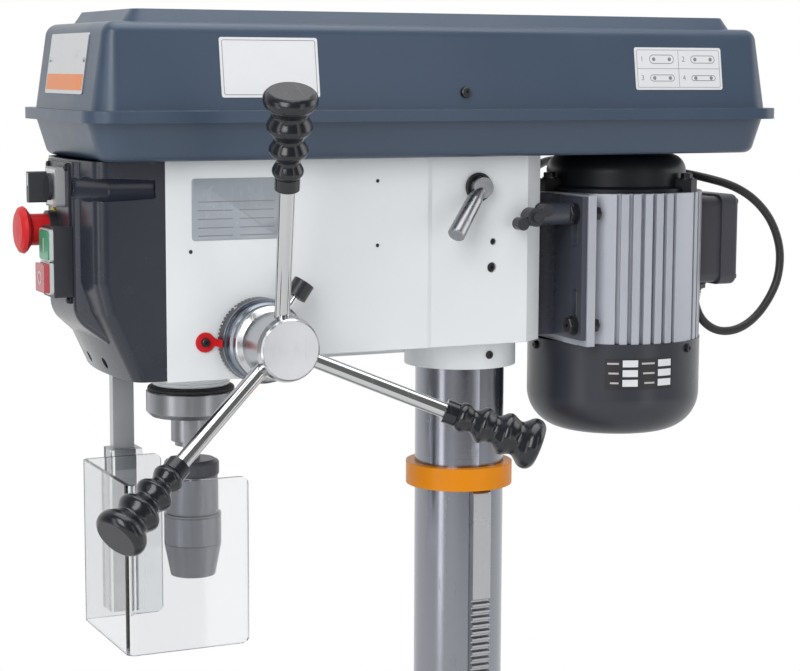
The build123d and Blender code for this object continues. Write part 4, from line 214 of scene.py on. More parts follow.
def make_turned_group():
    """Rings left by turning or grinding about an axis."""
    inputs = [("Centre", VECTOR, (0.0, 0.0, 0.0)), ("Across", VECTOR, (1.0, 1.0, 0.0)),
              ("Along", VECTOR, (0.0, 0.0, 1.0)), ("Pitch", FLOAT, 2500.0)]
    tree, given, out = new_group("turned", "ShaderNodeTree", inputs, [("Height", FLOAT), ("Tone", FLOAT)])
    offset = vectors(tree, "SUBTRACT", object_place(tree), given["Centre"])
    radius = vectors(tree, "LENGTH", vectors(tree, "MULTIPLY", offset, given["Across"]))
    travel = maths(tree, "ADD", radius, vectors(tree, "DOT_PRODUCT", offset, given["Along"]))
    values = {"W": travel, "Scale": given["Pitch"], "Detail": 2.0}
    rings = add(tree, "ShaderNodeTexNoise", values, noise_dimensions="1D").outputs["Fac"]
    fill(tree, out, {"Height": rings, "Tone": spread(tree, rings, 0.3, 0.7)})
    return tree


def make_rub_group():
    """Edges rubbed by hands and swarf, broken up by noise."""
    inputs = [("Radius", FLOAT, 0.0015), ("Patches", FLOAT, 60.0)]
    tree, given, out = new_group("rubbed_edges", "ShaderNodeTree", inputs, [("Mask", FLOAT)])
    plain = add(tree, "ShaderNodeNewGeometry").outputs["Normal"]
    level = vectors(tree, "DOT_PRODUCT", softened_normal(tree, given["Radius"]), plain)
    edge = spread(tree, level, 0.96, 0.78)
    patchy = spread(tree, noise(tree, object_place(tree), given["Patches"], 6.0), 0.50, 0.70)
    fill(tree, out, {"Mask": maths(tree, "MULTIPLY", edge, patchy, clamp=True)})
    return tree


def make_scratch_group():
    """Hairline handling scratches, running two ways."""
    tree, given, out = new_group("hairlines", "ShaderNodeTree", [("Scale", FLOAT, 30.0)], [("Mask", FLOAT)])
    where = object_place(tree)
    masks = []
    for turn, stretch in (((0.4, 0.9, 0.3), (1.0, 14.0, 1.0)), ((1.2, 0.2, 0.8), (16.0, 1.0, 1.0))):
        mapping = add(tree, "ShaderNodeMapping", {"Vector": where, "Rotation": turn, "Scale": stretch})
        streak = noise(tree, mapping.outputs["Vector"], given["Scale"], 4.0)
        masks.append(spread(tree, streak, 0.64, 0.72))
    fill(tree, out, {"Mask": maths(tree, "MAXIMUM", *masks, clamp=True)})
    return tree


SKIN = make_skin_group()
TURNED = make_turned_group()
RUBBED = make_rub_group()
HAIRLINES = make_scratch_group()


# Finishes.

BUMP_DEPTH = 0.0004
SCRATCH_SCALE = 26.0
COAT_ROUGHNESS = 0.08


def new_material(name):
    material = bpy.data.materials.new(name)
    material.use_nodes = True
    tree = material.node_tree
    return material, tree, tree.nodes["Principled BSDF"]


def shade(colour, share):
    return tuple(min(1.0, part * share) for part in colour)


def surface(name, colour, roughness, metallic=0.0, grain=420.0, relief=0.05, drift=9.0, uneven=0.06,
            rough_spread=0.06, rub=None, rub_radius=0.0015, turned=None, hairlines=0.0, edge=0.0, coat=0.0,
            specular=0.5):
    """Base colour with drift, grain relief, and optional rubbed edges, tool marks and scratches."""
    material, tree, principled = new_material(name)
    skin = call(tree, SKIN, {"Grain": grain, "Drift": drift})
    tones = [shade(colour, 1.0 - uneven), shade(colour, 1.0 + uneven)]
    tint = mixed(tree, skin["Tone"], *tones)
    gloss = spread(tree, skin["Tone"], 0.0, 1.0, roughness - rough_spread, roughness + rough_spread)
    height = skin["Height"]
    if turned:
        marks = call(tree, TURNED, turned)
        height = marks["Height"]
        tint = mixed(tree, marks["Tone"], tint, shade(colour, 1.0 - 1.5 * uneven))
    if hairlines:
        lines = call(tree, HAIRLINES, {"Scale": SCRATCH_SCALE})["Mask"]
        gloss = maths(tree, "ADD", gloss, maths(tree, "MULTIPLY", lines, hairlines), clamp=True)
    if rub:
        tint = mixed(tree, call(tree, RUBBED, {"Radius": rub_radius})["Mask"], tint, rub)
    bump = add(tree, "ShaderNodeBump", {"Strength": relief, "Distance": BUMP_DEPTH, "Height": height})
    if edge:
        fill(tree, bump, {"Normal": softened_normal(tree, edge)})
    if coat:
        fill(tree, principled, {"Coat Weight": coat, "Coat Roughness": COAT_ROUGHNESS})
    fill(tree, principled, {"Base Color": tint, "Roughness": gloss, "Metallic": metallic,
                            "Specular IOR Level": specular, "Normal": bump.outputs["Normal"]})
    material["tones"] = tones
    material["gloss"] = roughness
    return material


def rings_about(datum, pitch, upright=True):
    """Turning marks about an upright axis through a datum, or about one along X."""
    across, along = ((1.0, 1.0, 0.0), (0.0, 0.0, 1.0)) if upright else ((0.0, 1.0, 1.0), (1.0, 0.0, 0.0))
    return {"Centre": tuple(datum), "Across": across, "Along": along, "Pitch": pitch}


# Paints.

COVER_PAINT = surface(
    "cover_slate_paint", (0.044, 0.068, 0.108), 0.34, grain=520.0, relief=0.10, uneven=0.05,
    rub=(0.10, 0.12, 0.15), edge=0.0012, coat=0.05, specular=0.4)
HEAD_PAINT = surface(
    "head_white_paint", (0.74, 0.77, 0.79), 0.36, grain=480.0, relief=0.10, uneven=0.02,
    rub=(0.58, 0.59, 0.60), edge=0.0012, coat=0.1)
ORANGE_PAINT = surface(
    "rack_ring_orange", (0.72, 0.24, 0.002), 0.36, grain=520.0, relief=0.10, uneven=0.05,
    rub=(0.55, 0.20, 0.02), edge=0.0008, specular=0.25)
BLACK_PAINT = surface(
    "motor_black_paint", (0.025, 0.028, 0.038), 0.30, grain=700.0, relief=0.10, uneven=0.08,
    rub=(0.06, 0.062, 0.07), edge=0.0010)
# Painted sheen: the bracket's blue-black paint is lighter than the motor's black, and the lightening stands
# in for the sheen it catches.
BRACKET_SHEEN_PAINT = surface(
    "bracket_blue_black_paint_and_sheen", (0.052, 0.058, 0.076), 0.28, grain=700.0, relief=0.10, uneven=0.08,
    rub=(0.07, 0.072, 0.08), edge=0.0010)
# Painted shade: the bell's black paint is darker than the cowl's, to stand in for the shadow under the belt
# cover.
BELL_SHADE_PAINT = surface(
    "bell_black_paint_painted_shade", (0.007, 0.008, 0.010), 0.38, grain=700.0, relief=0.12, uneven=0.08, edge=0.0010,
    specular=0.3)
CASTING_PAINT = surface(
    "casting_grey_paint", (0.085, 0.092, 0.105), 0.42, grain=300.0, relief=0.22, drift=14.0,
    rub=(0.20, 0.20, 0.21), edge=0.0012, specular=0.4)

# Metals.

COLUMN_STEEL = surface(
    "column_ground_steel", (0.28, 0.29, 0.325), 0.20, metallic=1.0, uneven=0.03, rough_spread=0.04,
    turned=rings_about(HEAD, 1800.0), hairlines=0.10)
BRIGHT_STEEL = surface(
    "polished_steel", (0.61, 0.615, 0.62), 0.14, metallic=1.0, grain=900.0, relief=0.02, uneven=0.04,
    rough_spread=0.04, hairlines=0.12, edge=0.0006)
HUB_STEEL = surface(
    "hub_turned_steel", (0.58, 0.59, 0.61), 0.22, metallic=1.0, relief=0.06, uneven=0.05,
    rough_spread=0.05, turned=rings_about(FEED, 2600.0, upright=False), hairlines=0.10, edge=0.0008)
DIAL_STEEL = surface(
    "dial_grey_steel", (0.24, 0.265, 0.31), 0.22, metallic=1.0, grain=900.0, relief=0.03, uneven=0.05,
    hairlines=0.10)
RACK_STEEL = surface(
    "rack_milled_steel", (0.40, 0.41, 0.42), 0.32, metallic=1.0, grain=300.0, relief=0.08, drift=40.0,
    uneven=0.10, rough_spread=0.08, hairlines=0.10, edge=0.0006)
BAR_STEEL = surface(
    "guard_bar_drawn_steel", (0.50, 0.51, 0.53), 0.32, metallic=0.6, grain=400.0, relief=0.06, drift=30.0,
    hairlines=0.10, edge=0.0006)
COLLAR_STEEL = surface(
    "collar_satin_steel", (0.34, 0.345, 0.37), 0.30, metallic=1.0, relief=0.06, uneven=0.05,
    turned=rings_about(SPINDLE, 2400.0), hairlines=0.08, edge=0.0008)
LEVER_STEEL = surface(
    "lever_satin_steel", (0.34, 0.35, 0.37), 0.28, metallic=1.0, grain=320.0, relief=0.10, drift=60.0,
    uneven=0.14, rough_spread=0.08, hairlines=0.12, edge=0.0008)
ZINC_STEEL = surface(
    "zinc_plated_steel", (0.50, 0.51, 0.53), 0.36, metallic=1.0, grain=260.0, relief=0.10, drift=40.0,
    uneven=0.10, rough_spread=0.08, hairlines=0.10, edge=0.0006)
CHUCK_STEEL = surface(
    "chuck_satin_steel", (0.20, 0.21, 0.235), 0.38, metallic=1.0, relief=0.08, uneven=0.08,
    turned=rings_about(SPINDLE, 2200.0), rub=(0.36, 0.36, 0.37), edge=0.0007)
CHROME = surface(
    "chrome", (0.56, 0.565, 0.57), 0.13, metallic=1.0, grain=900.0, relief=0.01, uneven=0.02,
    rough_spread=0.04, hairlines=0.10)
ALUMINIUM = surface(
    "motor_silver", (0.43, 0.45, 0.505), 0.42, metallic=0.3, grain=700.0, relief=0.10, uneven=0.05,
    rub=(0.60, 0.61, 0.63), edge=0.0006)
MACHINED_IRON = surface(
    "cast_iron_machined", (0.34, 0.345, 0.355), 0.46, metallic=0.6, grain=240.0, relief=0.10, drift=24.0,
    uneven=0.10, rough_spread=0.08, hairlines=0.12)
COPPER = surface(
    "copper_windings", (0.62, 0.27, 0.14), 0.34, metallic=1.0, grain=900.0, relief=0.30, drift=30.0,
    uneven=0.15)
BLACK_OXIDE = surface(
    "blackened_steel", (0.045, 0.046, 0.050), 0.34, metallic=0.8, grain=900.0, relief=0.06, uneven=0.12,
    rub=(0.30, 0.30, 0.30), rub_radius=0.0006)
SCREW_ZINC = surface(
    "screw_zinc", (0.55, 0.56, 0.58), 0.30, metallic=1.0, grain=700.0, relief=0.06, drift=60.0, uneven=0.10)
PLATE_ALUMINIUM = surface(
    "plate_brushed_aluminium", (0.60, 0.61, 0.62), 0.34, metallic=0.9, grain=500.0, relief=0.04, drift=30.0,
    uneven=0.05, hairlines=0.14)

# Plastics and rubber.

FASCIA_PLASTIC = surface(
    "fascia_charcoal", (0.020, 0.024, 0.036), 0.26, grain=1400.0, relief=0.08, rub=(0.05, 0.055, 0.07),
    edge=0.0010, coat=0.05)
STRIP_PLASTIC = surface(
    "guard_pale_strip", (0.72, 0.72, 0.76), 0.30, grain=300.0, relief=0.03, drift=20.0, uneven=0.04)
BLACK_PLASTIC = surface(
    "black_moulding", (0.022, 0.023, 0.029), 0.36, grain=1600.0, relief=0.16, uneven=0.08, edge=0.0008)
BOX_PLASTIC = surface(
    "terminal_box_moulding", (0.045, 0.046, 0.058), 0.38, grain=1600.0, relief=0.14, uneven=0.08,
    edge=0.0010)
GRIP_PLASTIC = surface(
    "grip_gloss_black", (0.009, 0.010, 0.014), 0.22, grain=300.0, relief=0.03, uneven=0.08, hairlines=0.12,
    coat=0.1)
GREY_PLASTIC = surface(
    "grey_moulding", (0.30, 0.31, 0.32), 0.42, grain=1400.0, relief=0.15, uneven=0.05, edge=0.0006)
RED_PLASTIC = surface(
    "red_moulding", (0.55, 0.014, 0.018), 0.34, grain=900.0, uneven=0.05, edge=0.0006, specular=0.25)
STOP_PLASTIC = surface(
    "stop_milky_red", (0.42, 0.070, 0.080), 0.26, grain=900.0, uneven=0.05, coat=0.1, edge=0.0006)
GREEN_PLASTIC = surface(
    "green_moulding", (0.030, 0.29, 0.150), 0.30, grain=900.0, uneven=0.05, coat=0.2, edge=0.0006)
YELLOW_PLASTIC = surface("yellow_moulding", (0.78, 0.48, 0.010), 0.36, grain=1200.0, relief=0.06)
MILKY_PLASTIC = surface("milky_bezel", (0.52, 0.55, 0.55), 0.24, grain=700.0, relief=0.04, coat=0.3)
BELT_RUBBER = surface("belt_rubber", (0.016, 0.016, 0.017), 0.72, grain=1200.0, relief=0.20, uneven=0.15)
CABLE_RUBBER = surface("cable_sheath", (0.020, 0.020, 0.022), 0.46, grain=1300.0, relief=0.14, uneven=0.10)
BUMPER_RUBBER = surface("bumper_rubber", (0.014, 0.014, 0.015), 0.58, grain=1100.0, relief=0.18, uneven=0.12)

# Sheets and inks.

WHITE_FILM = surface(
    "label_white_film", (0.68, 0.69, 0.71), 0.34, grain=200.0, relief=0.03, drift=20.0, uneven=0.02,
    coat=0.2)
PLATE_FILM = surface(
    "plate_clear_film", (0.34, 0.37, 0.41), 0.24, grain=160.0, relief=0.04, drift=26.0, uneven=0.05,
    hairlines=0.08, coat=0.15)
PLATE_INK = surface("plate_ink", (0.20, 0.20, 0.21), 0.45, grain=900.0, relief=0.04, uneven=0.12)
PLATE_BLACK = surface("plate_black", (0.016, 0.016, 0.019), 0.36, grain=900.0, uneven=0.10)
ORANGE_INK = surface("plate_orange_ink", (0.66, 0.20, 0.05), 0.36, grain=900.0, relief=0.03)
MARK_PALE = surface("mark_pale", (0.45, 0.43, 0.43), 0.34, grain=900.0, relief=0.03, uneven=0.05)
MARK_WHITE = surface("mark_white", (0.72, 0.72, 0.71), 0.42, grain=900.0, relief=0.03, uneven=0.05)


# Clear guard. Its sawn edges are found by their place, in metres.

SAWN_EDGE = 0.0003
GUARD_FAR_REAR = -0.262
CLEAR_TONES = ((0.775, 0.79, 0.805), (0.80, 0.81, 0.82))
CLEAR_GLOSS = (0.01, 0.05)
SAWN_TONE = (0.66, 0.67, 0.76)
SAWN_ROUGHNESS = 0.55
ACRYLIC_IOR = 1.49


def sawn_edges(tree):
    place = add(tree, "ShaderNodeSeparateXYZ", {"Vector": object_place(tree)}).outputs
    low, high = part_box("guard_shield")
    far_side = maths(tree, "LESS_THAN", place["X"], 0.0)
    far_end = maths(tree, "GREATER_THAN", place["Y"], GUARD_FAR_REAR - SAWN_EDGE)
    edge = maths(tree, "MULTIPLY", far_side, far_end)
    for other in (maths(tree, "GREATER_THAN", place["Z"], high[2] - SAWN_EDGE),
                  maths(tree, "LESS_THAN", place["Z"], low[2] + SAWN_EDGE),
                  maths(tree, "GREATER_THAN", place["Y"], high[1] - SAWN_EDGE)):
        edge = maths(tree, "MAXIMUM", edge, other)
    return edge


def make_clear_plastic():
    """Clear acrylic with faint smears and frosted sawn edges."""
    material, tree, principled = new_material("guard_acrylic")
    skin = call(tree, SKIN, {"Grain": 60.0, "Drift": 14.0})
    edge = sawn_edges(tree)
    gloss = spread(tree, skin["Tone"], 0.0, 1.0, *CLEAR_GLOSS)
    bump = add(tree, "ShaderNodeBump", {"Strength": 0.02, "Distance": BUMP_DEPTH, "Height": skin["Height"]})
    fill(tree, principled, {
        "Base Color": mixed(tree, edge, mixed(tree, skin["Tone"], *CLEAR_TONES), SAWN_TONE),
        "Roughness": mixed_value(tree, edge, gloss, SAWN_ROUGHNESS),
        "Transmission Weight": 1.0, "IOR": ACRYLIC_IOR, "Normal": bump.outputs["Normal"]})
    return material


CLEAR_PLASTIC = make_clear_plastic()


# Pieces with two finishes, parted at a distance in metres from a point.

MILLED_EDGE = 0.0004
DIAL_RIM_END = 0.0860
CHUCK_CAP_END = -0.1055
STRIP_TOP = -0.112
STUD_END = 0.0435
CRANK_ARM_END = 0.1285
LOCK_ANGLE = math.radians(55.0)
LOCK_WAY = Vector((0.0, math.cos(LOCK_ANGLE), math.sin(LOCK_ANGLE)))


def two_tone(name, near, far, origin, direction, edge):
    """The far finish takes over at a distance from a point along a direction."""
    material = near.copy()
    material.name = name
    tree = material.node_tree
    principled = tree.nodes["Principled BSDF"]
    source = far.node_tree.nodes["Principled BSDF"]
    offset = vectors(tree, "SUBTRACT", object_place(tree), tuple(origin))
    side = maths(tree, "GREATER_THAN", vectors(tree, "DOT_PRODUCT", offset, tuple(direction)), edge)
    skin = call(tree, SKIN, {"Grain": 900.0, "Drift": 12.0})
    tint = mixed(tree, skin["Tone"], *[tuple(tone) for tone in far["tones"]])
    mine, rough = [principled.inputs[key].links[0].from_socket for key in ("Base Color", "Roughness")]
    metals = [node.inputs["Metallic"].default_value for node in (principled, source)]
    fill(tree, principled, {
        "Base Color": mixed(tree, side, mine, tint),
        "Roughness": mixed_value(tree, side, rough, far["gloss"]),
        "Metallic": spread(tree, side, 0.0, 1.0, *metals)})
    return material


def milled_top(node):
    """A painted casting whose level top has been milled bare."""
    return two_tone(f"{node}_with_milled_top", CASTING_PAINT, MACHINED_IRON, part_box(node)[1], Z_AXIS,
                    -MILLED_EDGE)


SLOT_FINISH = {
    "cast_iron": CASTING_PAINT, "column_steel": COLUMN_STEEL, "bright_steel": BRIGHT_STEEL,
    "zinc_steel": ZINC_STEEL, "orange_paint": ORANGE_PAINT, "white_paint": HEAD_PAINT,
    "cover_paint": COVER_PAINT, "fascia_plastic": FASCIA_PLASTIC, "black_plastic": BLACK_PLASTIC,
    "grey_plastic": GREY_PLASTIC, "red_plastic": RED_PLASTIC, "green_plastic": GREEN_PLASTIC,
    "chuck_steel": CHUCK_STEEL, "chrome": CHROME, "aluminium": ALUMINIUM, "black_paint": BLACK_PAINT,
    "clear_plastic": CLEAR_PLASTIC, "belt_rubber": BELT_RUBBER, "copper": COPPER,
}
OWN_FINISH = {
    "feed_hub": HUB_STEEL, "feed_grips": GRIP_PLASTIC, "estop_stem": RED_PLASTIC,
    "stop_button": STOP_PLASTIC, "slide_lock_knob": BLACK_PLASTIC, "tension_lever": LEVER_STEEL,
    "table_rack": RACK_STEEL, "motor_top_bell": BELL_SHADE_PAINT, "quill_collar": COLLAR_STEEL,
    "spindle": COLLAR_STEEL, "motor_bracket": BRACKET_SHEEN_PAINT, "terminal_box": BOX_PLASTIC,
    "table_lock_lever": ZINC_STEEL, "table": milled_top("table"), "base": milled_top("base"),
    "depth_dial": two_tone("dial_black_and_bright", BLACK_PLASTIC, DIAL_STEEL, FEED, X_AXIS, DIAL_RIM_END),
    "chuck_body": two_tone("chuck_satin_and_black", CHUCK_STEEL, BOX_PLASTIC, HEAD, Z_AXIS, CHUCK_CAP_END),
    "guard_bar": two_tone("guard_bar_and_strip", STRIP_PLASTIC, BAR_STEEL, HEAD, Z_AXIS, STRIP_TOP),
    "dial_lock_knob": two_tone("lock_stud_and_knob", BRIGHT_STEEL, BLACK_PLASTIC, FEED, LOCK_WAY, STUD_END),
    "crank": two_tone("crank_arm_and_grip", ZINC_STEEL, BLACK_PLASTIC, HEAD, X_AXIS, CRANK_ARM_END),
}


def dress_nodes():
    slots = {part["node"]: part["material_slot"] for part in frame["record"]["subparts"]}
    for name, obj in frame["nodes"].items():
        finish = OWN_FINISH.get(name) or SLOT_FINISH[slots[name]]
        for place in obj.material_slots:
            place.material = finish


dress_nodes()


# Meshes.

WELD = 1e-6
CORNER_STEPS = 6
EDGE_GAP = 4.0


def basis(normal, up=Z_AXIS):
    """Directions to the right, up and out of a face with this normal."""
    out = Vector(normal).normalized()
    across = Vector(up).cross(out)
    if across.length < 0.01:
        across = X_AXIS.cross(out)
    across.normalize()
    return across, out.cross(across), out


def finished(bm, weld=True):
    """Turn a working mesh into a plain one, with its points welded and its faces outwards."""
    if weld:
        bmesh.ops.remove_doubles(bm, verts=bm.verts, dist=WELD)
        bmesh.ops.recalc_face_normals(bm, faces=bm.faces)
    mesh = bpy.data.meshes.new("piece")
    bm.to_mesh(mesh)
    bm.free()
    return mesh


def join(meshes):
    bm = bmesh.new()
    for mesh in meshes:
        bm.from_mesh(mesh)
        bpy.data.meshes.remove(mesh)
    return finished(bm, weld=False)


def tie(bm, low, high):
    """Walls between two closed rows of points."""
    for index in range(len(low)):
        after = (index + 1) % len(low)
        bm.faces.new((low[index], low[after], high[after], high[index]))


def lathe(profile, origin, axis, steps=48):
    """Turn a profile of (distance along, radius) in millimetres about an axis."""
    across, upward, out = basis(axis)
    bm = bmesh.new()
    rings = []
    for along, radius in profile:
        ring = []
        for step in range(steps if radius > 0.0 else 1):
            turn = 2.0 * math.pi * step / steps
            way = across * math.cos(turn) + upward * math.sin(turn)
            ring.append(bm.verts.new(origin + (out * along + way * radius) * MM))
        rings.append(ring)
    for low, high in zip(rings, rings[1:]):
        for step in range(steps):
            after = (step + 1) % steps
            corners = []
            for ring, index in ((low, step), (low, after), (high, after), (high, step)):
                corner = ring[index % len(ring)]
                if corner not in corners:
                    corners.append(corner)
            if len(corners) > 2:
                bm.faces.new(corners)
    return finished(bm)


def prism(outline, origin, normal, thick, bevel=0.0):
    """Raise a flat outline, in millimetres across and up, off a face."""
    across, upward, out = basis(normal)
    bm = bmesh.new()
    flat = [origin + (across * x + upward * y) * MM for x, y in outline]
    low = [bm.verts.new(point) for point in flat]
    high = [bm.verts.new(point + out * thick * MM) for point in flat]
    top = bm.faces.new(high)
    bm.faces.new(list(reversed(low)))
    tie(bm, low, high)
    if bevel:
        bmesh.ops.bevel(bm, geom=list(top.edges), offset=bevel * MM, segments=2, affect="EDGES", profile=0.5)
    return finished(bm)


def rounded(width, height, corner, x=0.0, y=0.0):
    """Outline of a rectangle with round corners."""
    points = []
    for quarter, (side, rise) in enumerate(((1, 1), (-1, 1), (-1, -1), (1, -1))):
        for step in range(CORNER_STEPS + 1):
            turn = math.pi / 2.0 * (quarter + step / CORNER_STEPS)
            points.append((x + side * (width / 2.0 - corner) + corner * math.cos(turn),
                           y + rise * (height / 2.0 - corner) + corner * math.sin(turn)))
    return points


def band(outline, inner, origin, normal, thick):
    """A flat ring between two outlines with as many points each."""
    across, upward, out = basis(normal)
    bm = bmesh.new()
    rows = []
    for line, rise in ((outline, 0.0), (outline, thick), (inner, thick), (inner, 0.0)):
        rows.append([bm.verts.new(origin + (across * x + upward * y + out * rise) * MM) for x, y in line])
    for low, high in zip(rows, rows[1:] + rows[:1]):
        tie(bm, low, high)
    return finished(bm)


def holed(outline, hole, radius, origin, normal, thick):
    """A flat plate with one round hole, with points along its edges to match the hole's."""
    corners = [Vector(point) for point in outline]
    edge = []
    for one, two in zip(corners, corners[1:] + corners[:1]):
        steps = max(1, math.ceil((two - one).length / EDGE_GAP))
        edge += [one.lerp(two, step / steps) for step in range(steps)]
    centre = Vector(hole)
    ring = [centre + (point - centre).normalized() * radius for point in edge]
    return band(edge, ring, origin, normal, thick)


def landing(node, start, direction):
    """Where a straight line first meets a solid, and which way that face looks."""
    obj = frame["nodes"][node]
    inverse = obj.matrix_world.inverted()
    way = (inverse.to_3x3() @ direction).normalized()
    hit, place, normal, _ = obj.ray_cast(inverse @ start, way)
    if not hit:
        raise ValueError(node)
    return obj.matrix_world @ place, (obj.matrix_world.to_3x3() @ normal).normalized()


def as_mesh(obj):
    """The mesh of a curve or text, which is then removed."""
    bpy.context.view_layer.update()
    mesh = bpy.data.meshes.new_from_object(obj)
    bpy.data.objects.remove(obj)
    return mesh


def keep(name, mesh, material, smooth=False):
    mesh.name = name
    mesh.materials.clear()
    mesh.materials.append(material)
    for polygon in mesh.polygons:
        polygon.use_smooth = smooth
    obj = show(name, mesh)
    bpy.context.view_layer.update()
    return obj


def put(name, mesh, material, body, smooth=False):
    piece = keep(name, mesh, material, smooth)
    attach(piece, body)


# Motor cable, from the head's gland to the terminal box.

CABLE_ROUTE = ((-46, 64, 141), (-46, 82, 141), (-64, 112, 148), (-89, 137, 152), (-95, 172, 152),
               (-86, 207, 149), (-60, 238, 144), (-29, 268, 138), (-6, 302, 127), (0, 330, 103),
               (1, 345, 72), (1, 345, 43), (0, 336, 21), (0, 319, 1), (0, 298, -10), (0, 275, -10),
               (0, 256.5, 2), (0, 248.2, 22), (0, 248.2, 33))
CABLE_RADIUS = 0.004


def cable_curve(bevel):
    data = bpy.data.curves.new("motor_cable_line", "CURVE")
    data.dimensions = "3D"
    data.resolution_u = 8
    data.bevel_depth = bevel
    data.bevel_resolution = 4
    spline = data.splines.new("NURBS")
    spline.points.add(len(CABLE_ROUTE) - 1)
    for point, place in zip(spline.points, CABLE_ROUTE):
        point.co = (*at(*place), 1.0)
    spline.order_u = 3
    spline.use_endpoint_u = True
    return as_mesh(show("motor_cable_line", data))


def follow(piece):
    """Bake the piece's place into its mesh."""
    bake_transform(piece)


def make_cable():
    points = [tuple(vertex.co) for vertex in cable_curve(0.0).vertices]
    tube = keep("motor_cable_sheath", cable_curve(CABLE_RADIUS), CABLE_RUBBER, smooth=True)
    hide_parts("motor_cable")
    follow(tube)


make_cable()


# Belts. The lower one is two halves, which meet on the frame.

UPPER_BELT_FROM = 216.0
BELT_MIDDLE = 57.5


def belt_piece(name, upper, cut=0):
    """One belt of the CAD pair, or its front (-1) or rear (1) half closed at the cut."""
    bm = bmesh.new()
    bm.from_mesh(frame["nodes"]["drive_belts"].data)
    level = at(0, 0, UPPER_BELT_FROM).z
    bmesh.ops.delete(bm, geom=[vert for vert in bm.verts if (vert.co.z > level) != upper], context="VERTS")
    if cut:
        bmesh.ops.bisect_plane(bm, geom=bm.verts[:] + bm.edges[:] + bm.faces[:], clear_outer=True,
                               plane_co=at(0, BELT_MIDDLE, 0), plane_no=(0.0, -cut, 0.0))
        bmesh.ops.holes_fill(bm, edges=[edge for edge in bm.edges if edge.is_boundary])
    piece = keep(name, finished(bm, weld=False), BELT_RUBBER)
    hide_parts("drive_belts")
    return piece


def make_belts():
    follow(belt_piece("belt_upper", True))
    follow(belt_piece("belt_lower_front", False, -1))
    follow(belt_piece("belt_lower_rear", False, 1))


make_belts()


# Geometry trees.

def dress_instances(tree, placed, given, out):
    real = add(tree, "GeometryNodeRealizeInstances", {"Geometry": placed.outputs["Instances"]})
    dressed = add(tree, "GeometryNodeSetMaterial", {
        "Geometry": real.outputs["Geometry"], "Material": given["Material"]})
    fill(tree, out, {"Geometry": dressed.outputs["Geometry"]})


def make_fastener_tree():
    """Screw or bolt heads with washers, one standing on each point along its facing."""
    inputs = [("Geometry", GEOMETRY, None), ("Sides", "NodeSocketInt", 6), ("Radius", FLOAT, 0.006),
              ("Height", FLOAT, 0.005), ("Crown", FLOAT, 0.88), ("Socket", FLOAT, 0.5),
              ("Washer Radius", FLOAT, 0.008), ("Washer Height", FLOAT, 0.0012),
              ("Material", "NodeSocketMaterial", None)]
    tree, given, out = new_group("fasteners", "GeometryNodeTree", inputs, [("Geometry", GEOMETRY)])

    def disc(sides, radius):
        values = {"Vertices": sides, "Radius": radius}
        return add(tree, "GeometryNodeMeshCircle", values, fill_type="NGON").outputs["Mesh"]

    def lift(mesh, height, chosen=True):
        values = {"Mesh": mesh, "Offset": vector_of(tree, 0.0, 0.0, height), "Offset Scale": 1.0,
                  "Individual": False, "Selection": chosen}
        return add(tree, "GeometryNodeExtrudeMesh", values, mode="FACES").outputs

    def shrink(mesh, chosen, share):
        values = {"Geometry": mesh, "Selection": chosen, "Scale": share}
        return add(tree, "GeometryNodeScaleElements", values, domain="FACE").outputs["Geometry"]

    def part_height(share):
        return maths(tree, "MULTIPLY", given["Height"], share)

    shank = lift(disc(given["Sides"], given["Radius"]), part_height(0.82))
    crown = lift(shank["Mesh"], part_height(0.18), shank["Top"])
    rim = lift(shrink(crown["Mesh"], crown["Top"], given["Crown"]), 0.0, crown["Top"])
    well = lift(shrink(rim["Mesh"], rim["Top"], given["Socket"]), part_height(-0.6), rim["Top"])
    washer = lift(disc(28, given["Washer Radius"]), given["Washer Height"])
    raised = vector_of(tree, 0.0, 0.0, given["Washer Height"])
    head = add(tree, "GeometryNodeTransform", {"Geometry": well["Mesh"], "Translation": raised})
    both = add(tree, "GeometryNodeJoinGeometry", {"Geometry": head.outputs["Geometry"]})
    fill(tree, both, {"Geometry": washer["Mesh"]})
    facing = add(tree, "GeometryNodeInputNamedAttribute", {"Name": "facing"}, data_type="FLOAT_VECTOR")
    turn = add(tree, "FunctionNodeAlignRotationToVector", {"Vector": facing.outputs["Attribute"]}, axis="Z")
    placed = add(tree, "GeometryNodeInstanceOnPoints", {
        "Points": given["Geometry"], "Instance": both.outputs["Geometry"],
        "Rotation": turn.outputs["Rotation"]})
    dress_instances(tree, placed, given, out)
    return tree


